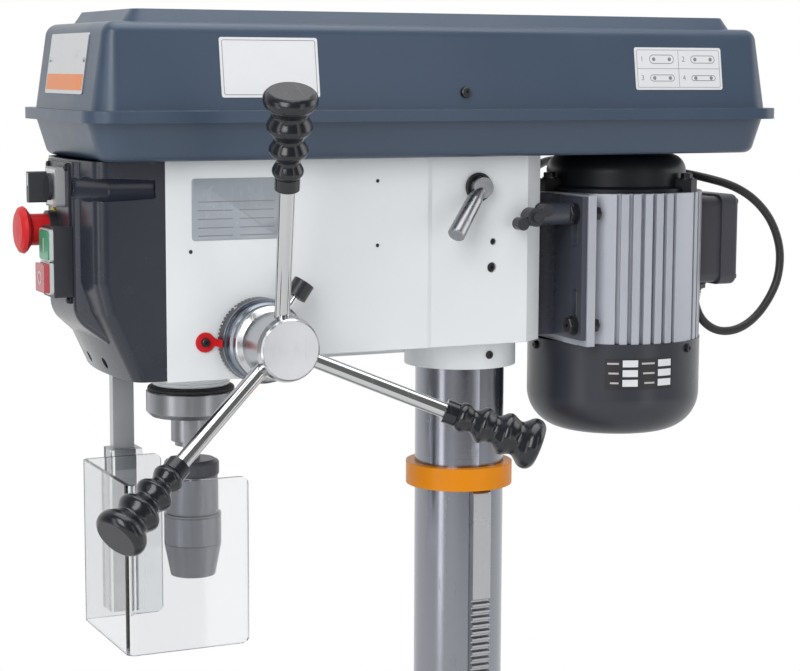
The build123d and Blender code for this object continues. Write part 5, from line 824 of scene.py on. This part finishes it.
def make_scale_tree():
    """Graduations round a drum: every fifth mark longer, every tenth longest."""
    inputs = [("Geometry", GEOMETRY, None), ("Count", "NodeSocketInt", 66), ("Radius", FLOAT, 0.035),
              ("Mark Width", FLOAT, 0.0005), ("Mark Length", FLOAT, 0.0030), ("Thickness", FLOAT, 0.0002),
              ("Material", "NodeSocketMaterial", None)]
    tree, given, out = new_group("graduations", "GeometryNodeTree", inputs, [("Geometry", GEOMETRY)])
    values = {"Vertices": given["Count"], "Radius": given["Radius"]}
    ring = add(tree, "GeometryNodeMeshCircle", values, fill_type="NONE").outputs["Mesh"]
    size = vector_of(tree, given["Thickness"], given["Mark Width"], given["Mark Length"])
    bar = add(tree, "GeometryNodeMeshCube", {"Size": size}).outputs["Mesh"]
    shift = vector_of(tree, 0.0, 0.0, maths(tree, "MULTIPLY", given["Mark Length"], 0.5))
    mark = add(tree, "GeometryNodeTransform", {"Geometry": bar, "Translation": shift}).outputs["Geometry"]
    index = add(tree, "GeometryNodeInputIndex").outputs["Index"]
    reach = 1.0
    for step in (5.0, 10.0):
        chosen = maths(tree, "LESS_THAN", maths(tree, "MODULO", index, step), 0.5)
        reach = maths(tree, "ADD", maths(tree, "MULTIPLY", chosen, 0.45), reach)
    where = add(tree, "GeometryNodeInputPosition").outputs["Position"]
    turn = add(tree, "FunctionNodeAlignRotationToVector", {"Vector": where}, axis="X", pivot_axis="Z")
    placed = add(tree, "GeometryNodeInstanceOnPoints", {
        "Points": ring, "Instance": mark, "Rotation": turn.outputs["Rotation"],
        "Scale": vector_of(tree, 1.0, 1.0, reach)})
    dress_instances(tree, placed, given, out)
    return tree


FASTENERS = make_fastener_tree()
GRADUATIONS = make_scale_tree()


def grow(tree, mesh, values):
    """Run a geometry tree on a mesh and keep what it makes as a plain mesh."""
    seed = show("seed", mesh)
    modifier = seed.modifiers.new("tree", "NODES")
    modifier.node_group = tree
    for item in tree.interface.items_tree:
        if item.in_out == "INPUT" and item.name in values:
            modifier[item.identifier] = values[item.name]
    bpy.context.view_layer.update()
    graph = bpy.context.evaluated_depsgraph_get()
    result = bpy.data.meshes.new_from_object(seed.evaluated_get(graph), depsgraph=graph)
    bpy.data.objects.remove(seed)
    bm = bmesh.new()
    bm.from_mesh(result)
    bpy.data.meshes.remove(result)
    return finished(bm)


# Screws: sides, radius, height, crown and socket as shares, and the washer's radius and height.

SCREWS = {
    "gland_nuts": (6, 11.0, 7.0, 0.94, 0.6, 12.0, 1.5),
    "box_gland_nut": (6, 10.6, 4.6, 0.94, 0.6, 11.4, 0.8),
    "switch_plate_screws": (20, 2.9, 1.8, 0.8, 0.5, 3.3, 0.3),
    "head_grub_screws_as_hole_shade": (24, 2.7, 2.6, 0.9, 0.55, 2.75, 0.4),
    "head_stud_socket_as_hole_shade": (24, 4.2, 3.0, 0.9, 0.55, 4.25, 0.4),
    "head_rivets": (16, 1.5, 1.0, 0.7, 0.3, 1.55, 0.3),
    "collar_set_screw": (24, 3.6, 1.8, 0.9, 0.55, 4.8, 0.5),
    "spring_cap_nuts": (6, 9.5, 7.0, 0.92, 0.45, 11.5, 1.4),
    "spring_cap_screws": (20, 2.8, 1.6, 0.75, 0.5, 3.4, 0.4),
    "guard_bracket_bolts": (6, 5.6, 4.0, 0.9, 0.4, 6.6, 0.8),
    "depth_pointer_screw": (24, 3.4, 2.2, 0.82, 0.5, 3.8, 0.4),
    "lid_front_rivets": (16, 1.9, 1.2, 0.6, 0.2, 2.0, 0.2),
    "lid_screw": (24, 4.2, 2.6, 0.82, 0.5, 5.0, 0.6),
    "bracket_bolts": (6, 7.4, 5.4, 0.9, 0.3, 9.0, 1.6),
    "bracket_nuts": (6, 6.4, 6.0, 0.9, 0.4, 8.0, 1.4),
    "cowl_screws": (20, 3.6, 2.4, 0.75, 0.5, 4.4, 0.5),
    "bell_bolts": (6, 5.4, 4.4, 0.88, 0.3, 6.6, 1.2),
    "box_screws": (20, 3.0, 1.6, 0.75, 0.5, 3.4, 0.3),
}


def fasten(name, body, places, material=BLACK_OXIDE):
    """Heads on the given places, each a point and the way it faces."""
    sides, radius, height, crown, socket, washer, washer_height = SCREWS[name]
    mesh = bpy.data.meshes.new("places")
    mesh.from_pydata([tuple(place) for place, _ in places], [], [])
    facing = mesh.attributes.new("facing", "FLOAT_VECTOR", "POINT")
    for item, (_, way) in zip(facing.data, places):
        item.vector = way.normalized()
    heads = grow(FASTENERS, mesh, {
        "Sides": sides, "Radius": radius * MM, "Height": height * MM, "Crown": crown, "Socket": socket,
        "Washer Radius": washer * MM, "Washer Height": washer_height * MM, "Material": material})
    put(name, heads, material, body)


# Strain reliefs.

HEAD_REAR = 50.0
LOWER_GLAND_Z = 40.0
BOX_UNDERSIDE = 38.5
RELIEF_ROOT = 7.2
RELIEF_GROOVE = 0.9


def relief(length, tip, rings, origin, axis):
    """A tapered sleeve cut by rings, closed at both ends."""
    points = [(0.0, 0.0), (0.0, RELIEF_ROOT)]
    step = length * 0.8 / rings
    for ring in range(rings):
        share = (ring + 0.5) / rings
        radius = RELIEF_ROOT + (tip - RELIEF_ROOT) * share
        middle = length * (0.12 + 0.8 * share)
        points += [(middle - 0.30 * step, radius), (middle - 0.22 * step, radius - RELIEF_GROOVE),
                   (middle + 0.22 * step, radius - RELIEF_GROOVE), (middle + 0.30 * step, radius)]
    return lathe(points + [(length, tip), (length, 0.0)], origin, axis)


def make_reliefs():
    x, y, z = CABLE_ROUTE[0]
    box_x, box_y, box_z = CABLE_ROUTE[-1]
    put("head_cable_relief", relief(22.0, 5.0, 5, at(x, y, z), Y_AXIS), BLACK_PLASTIC, "frame",
        smooth=True)
    put("box_cable_relief", relief(10.0, 5.6, 3, at(box_x, box_y, box_z), -Z_AXIS), BLACK_PLASTIC,
        "motor_carriage", smooth=True)
    fasten("gland_nuts", "frame", [(at(x, HEAD_REAR, height), Y_AXIS) for height in (z, LOWER_GLAND_Z)],
           BLACK_PLASTIC)
    fasten("box_gland_nut", "motor_carriage", [(at(box_x, box_y, BOX_UNDERSIDE), -Z_AXIS)],
           BLACK_PLASTIC)


make_reliefs()


# Switches. A plate's or mark's size is its width, height and corner.

NOSE_Y = -366.0
SWITCH_PLATE = (60.0, 114.0, 4.0)
SWITCH_PLATE_Z = 105.0
SWITCH_PLATE_T = 1.6
SWITCH_FRONT = NOSE_Y - SWITCH_PLATE_T
PLATE_SCREW_X = 26.5
PLATE_SCREW_RISE = 53.5
ESTOP_X = -14.0
ESTOP_Z = 106.0
ESTOP_SEAT = 15.7
BACKING_TOP = 20.6
BACKING_HALF = 1.2
BACKING_T = 1.2
PUSH_X = 18.5
PUSH_FRONT = -381.5
PUSH_BEZEL = (31.0, 26.0, 3.2)
PUSH_WINDOW = (26.6, 23.6, 2.2)
BEZEL_T = 3.0
START_Z = 96.0
START_FRONT = -385.5
START_MARK = (2.6, 11.0, 0.6)
STOP_Z = 69.5
STOP_FRONT = -389.0
STOP_RING = (4.0, 5.6)
MARK_T = 0.3
ROTARY_X = 5.0
ROTARY_Z = 142.0
ROTARY_FRONT = -375.0
ROTARY_LEGEND = (29.0, 29.0, 2.0)
LEGEND_T = 0.5
LEGEND_BEVEL = 0.2
ROTARY_TIP = -394.0
ROTARY_MARK = (1.8, 10.0, 0.5)
ROTARY_MARK_Z = 148.0


def make_switch_details():
    plate = holed(rounded(*SWITCH_PLATE), (ESTOP_X, ESTOP_Z - SWITCH_PLATE_Z), ESTOP_SEAT,
                  at(0, NOSE_Y, SWITCH_PLATE_Z), -Y_AXIS, SWITCH_PLATE_T)
    put("switch_plate", plate, BLACK_PAINT, "frame")
    corners = [(at(x, SWITCH_FRONT, SWITCH_PLATE_Z + rise), -Y_AXIS)
               for x in (-PLATE_SCREW_X, PLATE_SCREW_X) for rise in (-PLATE_SCREW_RISE, PLATE_SCREW_RISE)]
    fasten("switch_plate_screws", "frame", corners)
    turns = [math.radians(degrees) for degrees in range(108, 71, -6)]
    seat = [(ESTOP_SEAT * math.cos(turn), ESTOP_SEAT * math.sin(turn)) for turn in turns]
    backing = prism([*seat, (BACKING_HALF, BACKING_TOP), (-BACKING_HALF, BACKING_TOP)],
                    at(ESTOP_X, SWITCH_FRONT, ESTOP_Z), -Y_AXIS, BACKING_T)
    put("estop_backing", backing, YELLOW_PLASTIC, "frame")
    bezels = [band(rounded(*PUSH_BEZEL), rounded(*PUSH_WINDOW), at(PUSH_X, PUSH_FRONT, z), -Y_AXIS, BEZEL_T)
              for z in (START_Z, STOP_Z)]
    put("push_bezels", join(bezels), MILKY_PLASTIC, "frame")
    start = prism(rounded(*START_MARK), at(PUSH_X, START_FRONT, START_Z), -Y_AXIS, MARK_T)
    put("start_mark", start, MARK_PALE, "start")
    inner, outer = STOP_RING
    ring = [(0.0, inner), (MARK_T, inner), (MARK_T, outer), (0.0, outer), (0.0, inner)]
    put("stop_mark", lathe(ring, at(PUSH_X, STOP_FRONT, STOP_Z), -Y_AXIS), MARK_PALE, "stop")
    legend = prism(rounded(*ROTARY_LEGEND), at(ROTARY_X, ROTARY_FRONT, ROTARY_Z), -Y_AXIS, LEGEND_T,
                   LEGEND_BEVEL)
    put("rotary_legend", legend, PLATE_ALUMINIUM, "frame", smooth=True)
    mark = prism(rounded(*ROTARY_MARK), at(ROTARY_X, ROTARY_TIP, ROTARY_MARK_Z), -Y_AXIS, MARK_T)
    put("rotary_mark", mark, MARK_WHITE, "rotary")


make_switch_details()


# Head.

OUTSIDE = 600.0
INK_T = 0.06
HEAD_SIDE = 72.0
HEAD_PLATE = (76.0, 50.0, 2.5)
HEAD_PLATE_Y = -240.0
HEAD_PLATE_Z = 124.8
HEAD_PLATE_T = 0.4
HEAD_PLATE_BEVEL = 0.15
TOP_RULE = (131.0, 66.0)
RULE_WIDTH = 0.7
RULE_CORNER = 0.3
RULE_ZS = (124.0, 117.0, 110.0, 103.5)
RULE_LENGTH = 30.0
RULE_SHIFT = 18.0
# Places of the dark screws that paint the shade in the head's two side holes.
HOLE_SHADE_GRUB_SCREW = (66.0, -4.0, 90.6)
HOLE_SHADE_STUD_SOCKET = (65.0, -5.0, 68.3)
RIVET_X = 70.8
RIVETS = ((-279.0, 91.0), (-114.0, 145.0), (-114.0, 91.0))
COLLAR_SCREW_Y = 4.0
COLLAR_SCREW_Z = -11.0
COLLAR_SCREW_SINK = 1.2
SPRING_CAP_X = -96.0
SPRING_CAP_CIRCLE = 32.0
BRACKET_X = -93.0
BRACKET_Y = -291.5
BRACKET_BOLT_ZS = (-4.0, 21.0)
LEVER_Y = -19.5
LEVER_Z = 138.0
SLEEVE_RADIUS = 24.3
SLEEVE_GROOVE_SHADE_ZS = (-140.2, -164.4)
BOSS_UNDERSIDE = -24.0
COLLAR_TOP = -32.0
CHUCK_CAP_UNDERSIDE = -105.0


def make_head_plate():
    plate = prism(rounded(*HEAD_PLATE), at(HEAD_SIDE, HEAD_PLATE_Y, HEAD_PLATE_Z), X_AXIS, HEAD_PLATE_T,
                  HEAD_PLATE_BEVEL)
    put("head_plate", plate, PLATE_FILM, "frame", smooth=True)
    lines = [(HEAD_PLATE_Y, *TOP_RULE)]
    lines += [(HEAD_PLATE_Y + shift, z, RULE_LENGTH) for z in RULE_ZS for shift in (-RULE_SHIFT, RULE_SHIFT)]
    face = HEAD_SIDE + HEAD_PLATE_T
    rules = [prism(rounded(length, RULE_WIDTH, RULE_CORNER), at(face, y, z), X_AXIS, INK_T)
             for y, z, length in lines]
    put("head_plate_rules", join(rules), PLATE_INK, "frame")


def make_head_screws():
    # Painted shade: dark screws sunk deep in the two side holes make the holes read as shaded hollows.
    fasten("head_grub_screws_as_hole_shade", "frame", [(at(*HOLE_SHADE_GRUB_SCREW), X_AXIS)])
    fasten("head_stud_socket_as_hole_shade", "frame", [(at(*HOLE_SHADE_STUD_SOCKET), X_AXIS)])
    fasten("head_rivets", "frame", [(at(RIVET_X, y, z), X_AXIS) for y, z in RIVETS])
    place, way = landing("head_casting", at(OUTSIDE, COLLAR_SCREW_Y, COLLAR_SCREW_Z), -X_AXIS)
    fasten("collar_set_screw", "frame", [(place - way * COLLAR_SCREW_SINK * MM, way)])
    cap = FEED + X_AXIS * SPRING_CAP_X * MM
    fasten("spring_cap_nuts", "frame", [(cap, -X_AXIS)], material=SCREW_ZINC)
    turns = [math.radians(degrees) for degrees in (30, 150, 270)]
    circle = [Vector((0.0, math.cos(turn), math.sin(turn))) * SPRING_CAP_CIRCLE * MM for turn in turns]
    fasten("spring_cap_screws", "frame", [(cap + way, -X_AXIS) for way in circle], material=SCREW_ZINC)
    fasten("guard_bracket_bolts", "frame", [(at(BRACKET_X, BRACKET_Y, z), -X_AXIS) for z in BRACKET_BOLT_ZS])


def make_rings():
    """Turned rings and lips, and thin dark rings that paint the shade in the chuck sleeve's grooves: each
    profile is (distance along, radius) and ends where it starts.
    """
    def about_spindle(profile, z):
        return lathe(profile, at(0, SPINDLE_Y, z), Z_AXIS, 64)

    seal = [(0.0, 9.3), (0.0, 12.4), (1.6, 12.4), (2.4, 11.6), (2.4, 9.3), (0.0, 9.3)]
    put("lever_seal", lathe(seal, at(HEAD_SIDE, LEVER_Y, LEVER_Z), X_AXIS), BUMPER_RUBBER, "frame",
        smooth=True)
    section = ((-0.35, -0.4), (-0.35, 0.08), (0.0, 0.14), (0.35, 0.08), (0.35, -0.4), (-0.35, -0.4))
    # Painted shade: thin dark rings round the chuck sleeve stand in for the shade in its grooves.
    groove_shade = [(along, SLEEVE_RADIUS + rise) for along, rise in section]
    put("sleeve_groove_shade_rings", join([about_spindle(groove_shade, z) for z in SLEEVE_GROOVE_SHADE_ZS]), BLACK_OXIDE, "sleeve",
        smooth=True)
    lip = [(0.0, 27.4), (0.0, 33.0), (-2.6, 33.0), (-3.6, 32.0), (-3.6, 27.4), (0.0, 27.4)]
    put("quill_boss_lip", about_spindle(lip, BOSS_UNDERSIDE), HEAD_PAINT, "frame")
    bumper = [(0.0, 26.5), (0.0, 36.4), (1.4, 37.0), (3.0, 36.2), (4.0, 34.4), (4.1, 32.0), (4.1, 26.5),
              (0.0, 26.5)]
    put("quill_bumper", lathe(bumper, at(0, SPINDLE_Y, COLLAR_TOP), Z_AXIS), BUMPER_RUBBER, "quill_set",
        smooth=True)
    cap = [(0.0, 21.3), (0.0, 23.0), (0.6, 23.4), (9.8, 23.4), (11.4, 22.4), (11.6, 21.3), (0.0, 21.3)]
    put("chuck_cap_ring", about_spindle(cap, CHUCK_CAP_UNDERSIDE), BOX_PLASTIC, "spindle_set")


make_head_plate()
make_head_screws()
make_rings()


# Depth stop dial.

DIAL_MARKS = 66
DIAL_SCALE = {"Count": DIAL_MARKS, "Radius": 0.03505, "Mark Width": 0.0008, "Mark Length": 0.0026,
              "Thickness": 0.0003, "Material": MARK_WHITE}
DIAL_SCALE_X = 74.4
DIAL_NUMBER_X = 80.6
DIAL_NUMBER_R = 35.1
DIAL_NUMBER_SIZE = 3.6
EYE_Y = -267.5
EYE_Z = 17.0
EYE_RADIUS = 8.2
NECK_HALF = 3.1
NECK_REACH = 9.3
POINTER_T = 1.3
POINTER_BEVEL = 0.3
TAB = (17.5, 6.2, 1.0)
TAB_SHIFT = 8.0
TAB_Y = -258.3
TAB_T = 1.2


def make_pointer():
    """Red tongue: a round eye screwed to the head, a neck, and a tab bent out over the dial."""
    turns = [math.radians(22 + 316 * step / 30) for step in range(31)]
    eye = [(EYE_RADIUS * math.cos(turn), EYE_RADIUS * math.sin(turn)) for turn in turns]
    neck = [(NECK_REACH, -NECK_HALF), (NECK_REACH, NECK_HALF)]
    flat = prism(eye + neck, at(HEAD_SIDE, EYE_Y, EYE_Z), X_AXIS, POINTER_T, POINTER_BEVEL)
    tab = prism(rounded(*TAB, TAB_SHIFT), at(HEAD_SIDE, TAB_Y, EYE_Z), -Y_AXIS, TAB_T, POINTER_BEVEL)
    put("depth_pointer", join([flat, tab]), RED_PLASTIC, "frame")
    fasten("depth_pointer_screw", "frame", [(at(HEAD_SIDE + POINTER_T, EYE_Y, EYE_Z), X_AXIS)])


def digits(text, size, place, normal, up):
    data = bpy.data.curves.new("digits", "FONT")
    data.body = text
    data.size = size * MM
    data.align_x = "CENTER"
    data.align_y = "CENTER"
    data.extrude = INK_T * MM
    mesh = as_mesh(show("digits", data))
    mesh.transform(Matrix.Translation(place) @ facing_matrix(*basis(normal, up)))
    return mesh


def make_dial_scale():
    marks = grow(GRADUATIONS, bpy.data.meshes.new("ring"), DIAL_SCALE)
    start = Matrix.Translation(FEED + X_AXIS * DIAL_SCALE_X * MM)
    marks.transform(start @ Matrix.Rotation(math.pi / 2.0, 4, "Y"))
    put("dial_graduations", marks, MARK_WHITE, "dial")
    numbers = []
    for ten in range(0, DIAL_MARKS, 10):
        turn = 2.0 * math.pi * ten / DIAL_MARKS
        out = Vector((0.0, math.sin(turn), -math.cos(turn)))
        place = FEED + (X_AXIS * DIAL_NUMBER_X + out * DIAL_NUMBER_R) * MM
        numbers.append(digits(str(ten), DIAL_NUMBER_SIZE, place, out, X_AXIS))
    put("dial_numbers", join(numbers), MARK_WHITE, "dial")


make_pointer()
make_dial_scale()


# Belt cover.

SHEET_T = 0.35
FRONT_SHEET = (84.0, 48.0, 2.0)
FRONT_SHEET_Y = -219.0
FRONT_SHEET_Z = 238.5
FRONT_BORDER = (80.0, 44.0, 1.6)
FRONT_LINE = 0.5
CHART_SHEET = (89.0, 37.0, 2.0)
CHART_Y = 165.0
CHART_Z = 239.0
CHART_BORDER = (85.0, 33.0, 1.6)
CHART_LINE = 0.4
CHART_CROSS = ((CHART_LINE, 32.4, 0.1), (84.4, CHART_LINE, 0.1))
CELL_X = 21.2
CELL_Y = 8.2
NUMBER_SHIFT = -16.0
NUMBER_SIZE = 6.5
PULLEYS_SHIFT = 4.0
PULLEY_SPACE = 8.0
PULLEY_DOT = (3.4, 3.4, 1.69)
LOOP_LENGTH = 25.0
LOOP_HEIGHT = 8.0
LOOP_LINE = 0.6
BADGE = (108.0, 49.0, 2.0)
BADGE_X = -3.0
BADGE_Z = 241.0
BADGE_T = 0.8
BADGE_BAND = (104.0, 13.0, 0.8)
BAND_DROP = 15.0
BAND_T = 0.1
BADGE_RIVET_X = 49.0
BADGE_RIVET_RISE = 3.0
BADGE_RIVET_OUT = 0.6
LID_SCREW_Y = -45.5
LID_SCREW_Z = 218.5
LID_SCREW_SINK = 0.2


def wall_sheet(start, direction, size, thick):
    """A sheet on the lid's wall, with its place and facing."""
    place, way = landing("belt_lid", start, direction)
    return prism(rounded(*size), place, way, thick, bevel=thick / 3.0), place, way


def border(size, line, origin, normal, x=0.0, y=0.0):
    """A printed line round a rectangle with round corners."""
    width, height, corner = size
    inner = rounded(width - 2 * line, height - 2 * line, corner - line, x, y)
    return band(rounded(*size, x, y), inner, origin, normal, INK_T)


def belt_chart(place, way):
    """Four numbered cells, each with two pulleys and the belt round them."""
    across, upward, _ = basis(way)
    marks = [border(CHART_BORDER, CHART_LINE, place, way)]
    marks += [prism(rounded(*bar), place, way, INK_T) for bar in CHART_CROSS]
    cells = [(x, y) for y in (CELL_Y, -CELL_Y) for x in (-CELL_X, CELL_X)]
    for cell, (x, y) in enumerate(cells):
        spot = place + (across * (x + NUMBER_SHIFT) + upward * y) * MM
        marks.append(digits(str(cell + 1), NUMBER_SIZE, spot, way, Z_AXIS))
        middle = x + PULLEYS_SHIFT
        height = LOOP_HEIGHT - cell
        loop = (LOOP_LENGTH, height, height / 2.0 - 0.05)
        marks.append(border(loop, LOOP_LINE, place, way, middle, y))
        for side in (-PULLEY_SPACE, PULLEY_SPACE):
            marks.append(prism(rounded(*PULLEY_DOT, middle + side, y), place, way, INK_T))
    return marks


def make_cover_details():
    front, place, way = wall_sheet(at(OUTSIDE, FRONT_SHEET_Y, FRONT_SHEET_Z), -X_AXIS, FRONT_SHEET, SHEET_T)
    rear, spot, out = wall_sheet(at(OUTSIDE, CHART_Y, CHART_Z), -X_AXIS, CHART_SHEET, SHEET_T)
    put("lid_sheets", join([front, rear]), WHITE_FILM, "lid")
    ink = [border(FRONT_BORDER, FRONT_LINE, place + way * SHEET_T * MM, way)]
    ink += belt_chart(spot + out * SHEET_T * MM, out)
    put("lid_sheet_ink", join(ink), PLATE_INK, "lid")
    badge, place, way = wall_sheet(at(BADGE_X, -OUTSIDE, BADGE_Z), Y_AXIS, BADGE, BADGE_T)
    put("lid_front_plate", badge, PLATE_ALUMINIUM, "lid")
    across, upward, out = basis(way)
    low = place + (out * BADGE_T - upward * BAND_DROP) * MM
    put("lid_front_band", prism(rounded(*BADGE_BAND), low, way, BAND_T), ORANGE_INK, "lid")
    middle = place + (upward * BADGE_RIVET_RISE + out * BADGE_RIVET_OUT) * MM
    rivets = [(middle + across * x * MM, way) for x in (-BADGE_RIVET_X, BADGE_RIVET_X)]
    fasten("lid_front_rivets", "lid", rivets, material=SCREW_ZINC)
    spot, way = landing("belt_lid", at(OUTSIDE, LID_SCREW_Y, LID_SCREW_Z), -X_AXIS)
    fasten("lid_screw", "lid", [(spot - way * LID_SCREW_SINK * MM, way)])


make_cover_details()


# Motor. Angles are in degrees about its axis, from +X.

FOOT_BOLT_ZS = (112.0, 12.5)
FOOT_BOLT_X = 60.0
FOOT_BOLT_Y = 83.0
FOOT_NUT_X = 66.0
FOOT_NUT_Y = 96.0
COWL_RADIUS = 79.7
COWL_SCREW_Z = -12.5
COWL_SCREW_ANGLES = (-92.7, 26.2, 146.0)
LUG_RADIUS = 71.5
LUG_TOP = 140.0
LUG_ANGLES = (32.0, 152.0, 272.0)
BOX_REAR = 275.9
BOX_SCREW_X = 24.0
BOX_SCREW_ZS = (46.0, 116.0)
MOTOR_PLATE_T = 0.4
MOTOR_PLATE_ANGLES = (-36.0, 10.5)
MOTOR_PLATE_ZS = (-46.5, -18.5)
CELL_COLUMNS = ((-24.5, -34.5), (-0.5, -12.0))
CELL_WIDTH = 10.0
CELL_HEIGHT = 6.2
CELL_TOP = -20.0
CELL_PITCH = 8.8
CELL_ROWS = 3
LINE_GAP = 2.5
LINE_ZS = (-3.9, -2.3)
PRINT_T = 0.08
PLATE_STEPS = 24
PRINT_STEPS = 8


def on_motor(radius, degrees, z):
    turn = math.radians(degrees)
    way = Vector((math.cos(turn), math.sin(turn), 0.0))
    return MOTOR + (way * radius + Z_AXIS * z) * MM, way


def make_motor_screws():
    sides = [(side, z) for side in (-1, 1) for z in FOOT_BOLT_ZS]
    bolts = [(at(side * FOOT_BOLT_X, FOOT_BOLT_Y, z), -Y_AXIS) for side, z in sides]
    nuts = [(at(side * FOOT_NUT_X, FOOT_NUT_Y, z), Y_AXIS) for side, z in sides]
    cowl = [on_motor(COWL_RADIUS, angle, COWL_SCREW_Z) for angle in COWL_SCREW_ANGLES]
    bell = [(on_motor(LUG_RADIUS, angle, LUG_TOP)[0], Z_AXIS) for angle in LUG_ANGLES]
    box = [(at(x, BOX_REAR, z), Y_AXIS) for x in (-BOX_SCREW_X, BOX_SCREW_X) for z in BOX_SCREW_ZS]
    fasten("bracket_bolts", "motor_carriage", bolts)
    fasten("bracket_nuts", "motor_carriage", nuts)
    fasten("cowl_screws", "motor_carriage", cowl)
    fasten("bell_bolts", "motor_carriage", bell)
    fasten("box_screws", "motor_carriage", box)


def curved_patch(radius, thick, first, last, low, high, steps):
    """A thin closed sheet bent round the fan cowl, between two angles and two heights."""
    bm = bmesh.new()
    outer = radius + thick
    sections = []
    for step in range(steps + 1):
        angle = first + (last - first) * step / steps
        corners = ((radius, low), (outer, low), (outer, high), (radius, high))
        sections.append([bm.verts.new(on_motor(reach, angle, z)[0]) for reach, z in corners])
    for one, two in zip(sections, sections[1:]):
        tie(bm, one, two)
    bm.faces.new(sections[0])
    bm.faces.new(list(reversed(sections[-1])))
    return finished(bm)


def make_motor_plate():
    plate = curved_patch(COWL_RADIUS, MOTOR_PLATE_T, *MOTOR_PLATE_ANGLES, *MOTOR_PLATE_ZS, PLATE_STEPS)
    put("motor_plate", plate, PLATE_BLACK, "motor_carriage")

    def printed(first, last, low, high):
        return curved_patch(COWL_RADIUS + MOTOR_PLATE_T, PRINT_T, first, last, low, high, PRINT_STEPS)

    cells = []
    lines = []
    for column, start in CELL_COLUMNS:
        for row in range(CELL_ROWS):
            top = CELL_TOP - CELL_PITCH * row
            cells.append(printed(column, column + CELL_WIDTH, top - CELL_HEIGHT, top))
            lines.append(printed(start + row, column - LINE_GAP, *[top + z for z in LINE_ZS]))
    put("motor_plate_cells", join(cells), WHITE_FILM, "motor_carriage")
    put("motor_plate_lines", join(lines), MARK_PALE, "motor_carriage")


make_motor_screws()
make_motor_plate()


# Light and floor. Each lamp has a place, the Y that it looks at, a size and a power.

LAMPS = {
    "key": ((2.2, -2.2, 2.7), -0.1, (1.4, 2.6), 60.0),
    "strip": ((2.4, 0.85, 1.5), -0.1, (0.55, 2.4), 5.4),
    "left_strip": ((0.85, -2.75, 1.5), -0.2, (0.6, 2.4), 10.0),
    "rear": ((0.9, 2.9, 2.1), 0.1, (1.6, 2.0), 16.0),
    "top": ((0.2, 0.0, 3.4), -0.1, (2.0, 2.0), 32.0),
}
LAMP_AIM_Z = 1.4
ROOM_LIGHT = 0.42
ROOM_DIM = 0.18
BEHIND = (-0.90, 0.42, 0.10)
FLOOR_HALF = 6.0
FLOOR_TONES = ((0.84, 0.84, 0.84), (0.88, 0.88, 0.88))
FADE_FROM = 0.9
FADE_TO = 2.4


def make_lamps():
    for name, (place, aim_y, size, power) in LAMPS.items():
        data = bpy.data.lights.new(name, "AREA")
        data.shape = "RECTANGLE"
        data.size, data.size_y = size
        data.energy = power
        lamp = show(name, data)
        lamp.location = place
        way = Vector((0.0, aim_y, LAMP_AIM_Z)) - Vector(place)
        lamp.rotation_euler = way.to_track_quat("-Z", "Y").to_euler()


def rays(tree):
    """Whether the eye sees the place straight or through glass, and whether in a reflection."""
    path = add(tree, "ShaderNodeLightPath").outputs
    return maths(tree, "MAXIMUM", path["Is Camera Ray"], path["Is Transmission Ray"]), path["Is Glossy Ray"]


def make_paper():
    """Pale floor paper, which fades to the white of the background away from the object."""
    material, tree, principled = new_material("floor_paper")
    skin = call(tree, SKIN, {"Grain": 60.0, "Drift": 3.0})
    fill(tree, principled, {"Base Color": mixed(tree, skin["Tone"], *FLOOR_TONES), "Roughness": 0.8,
                            "Specular IOR Level": 0.1})
    away = spread(tree, vectors(tree, "LENGTH", object_place(tree)), FADE_FROM, FADE_TO)
    both = add(tree, "ShaderNodeMixShader", {
        0: maths(tree, "MULTIPLY", away, maths(tree, "MAXIMUM", *rays(tree))),
        1: principled.outputs["BSDF"], 2: add(tree, "ShaderNodeEmission").outputs["Emission"]})
    fill(tree, tree.nodes["Material Output"], {"Surface": both.outputs["Shader"]})
    return material


def make_backdrop():
    """White for the eye, and for reflections white behind the object and dimmer on the camera's side."""
    world = bpy.data.worlds.new("studio")
    bpy.context.scene.world = world
    world.use_nodes = True
    tree = world.node_tree
    clear, glossy = rays(tree)
    way = add(tree, "ShaderNodeTexCoord").outputs["Generated"]
    dim = spread(tree, vectors(tree, "DOT_PRODUCT", way, BEHIND), -0.1, 0.5, ROOM_DIM, 1.0)
    mirror = mixed_value(tree, glossy, ROOM_LIGHT, dim)
    fill(tree, tree.nodes["Background"], {
        "Color": (1.0, 1.0, 1.0, 1.0), "Strength": mixed_value(tree, clear, mirror, 1.0)})


def make_floor():
    mesh = bpy.data.meshes.new("floor")
    corners = [(x * FLOOR_HALF, y * FLOOR_HALF, 0.0) for x, y in ((-1, -1), (1, -1), (1, 1), (-1, 1))]
    mesh.from_pydata(corners, [], [(0, 1, 2, 3)])
    floor = show("floor", mesh)
    mesh.materials.append(make_paper())


make_lamps()
make_backdrop()
make_floor()
bpy.context.scene.view_settings.view_transform = "Standard"
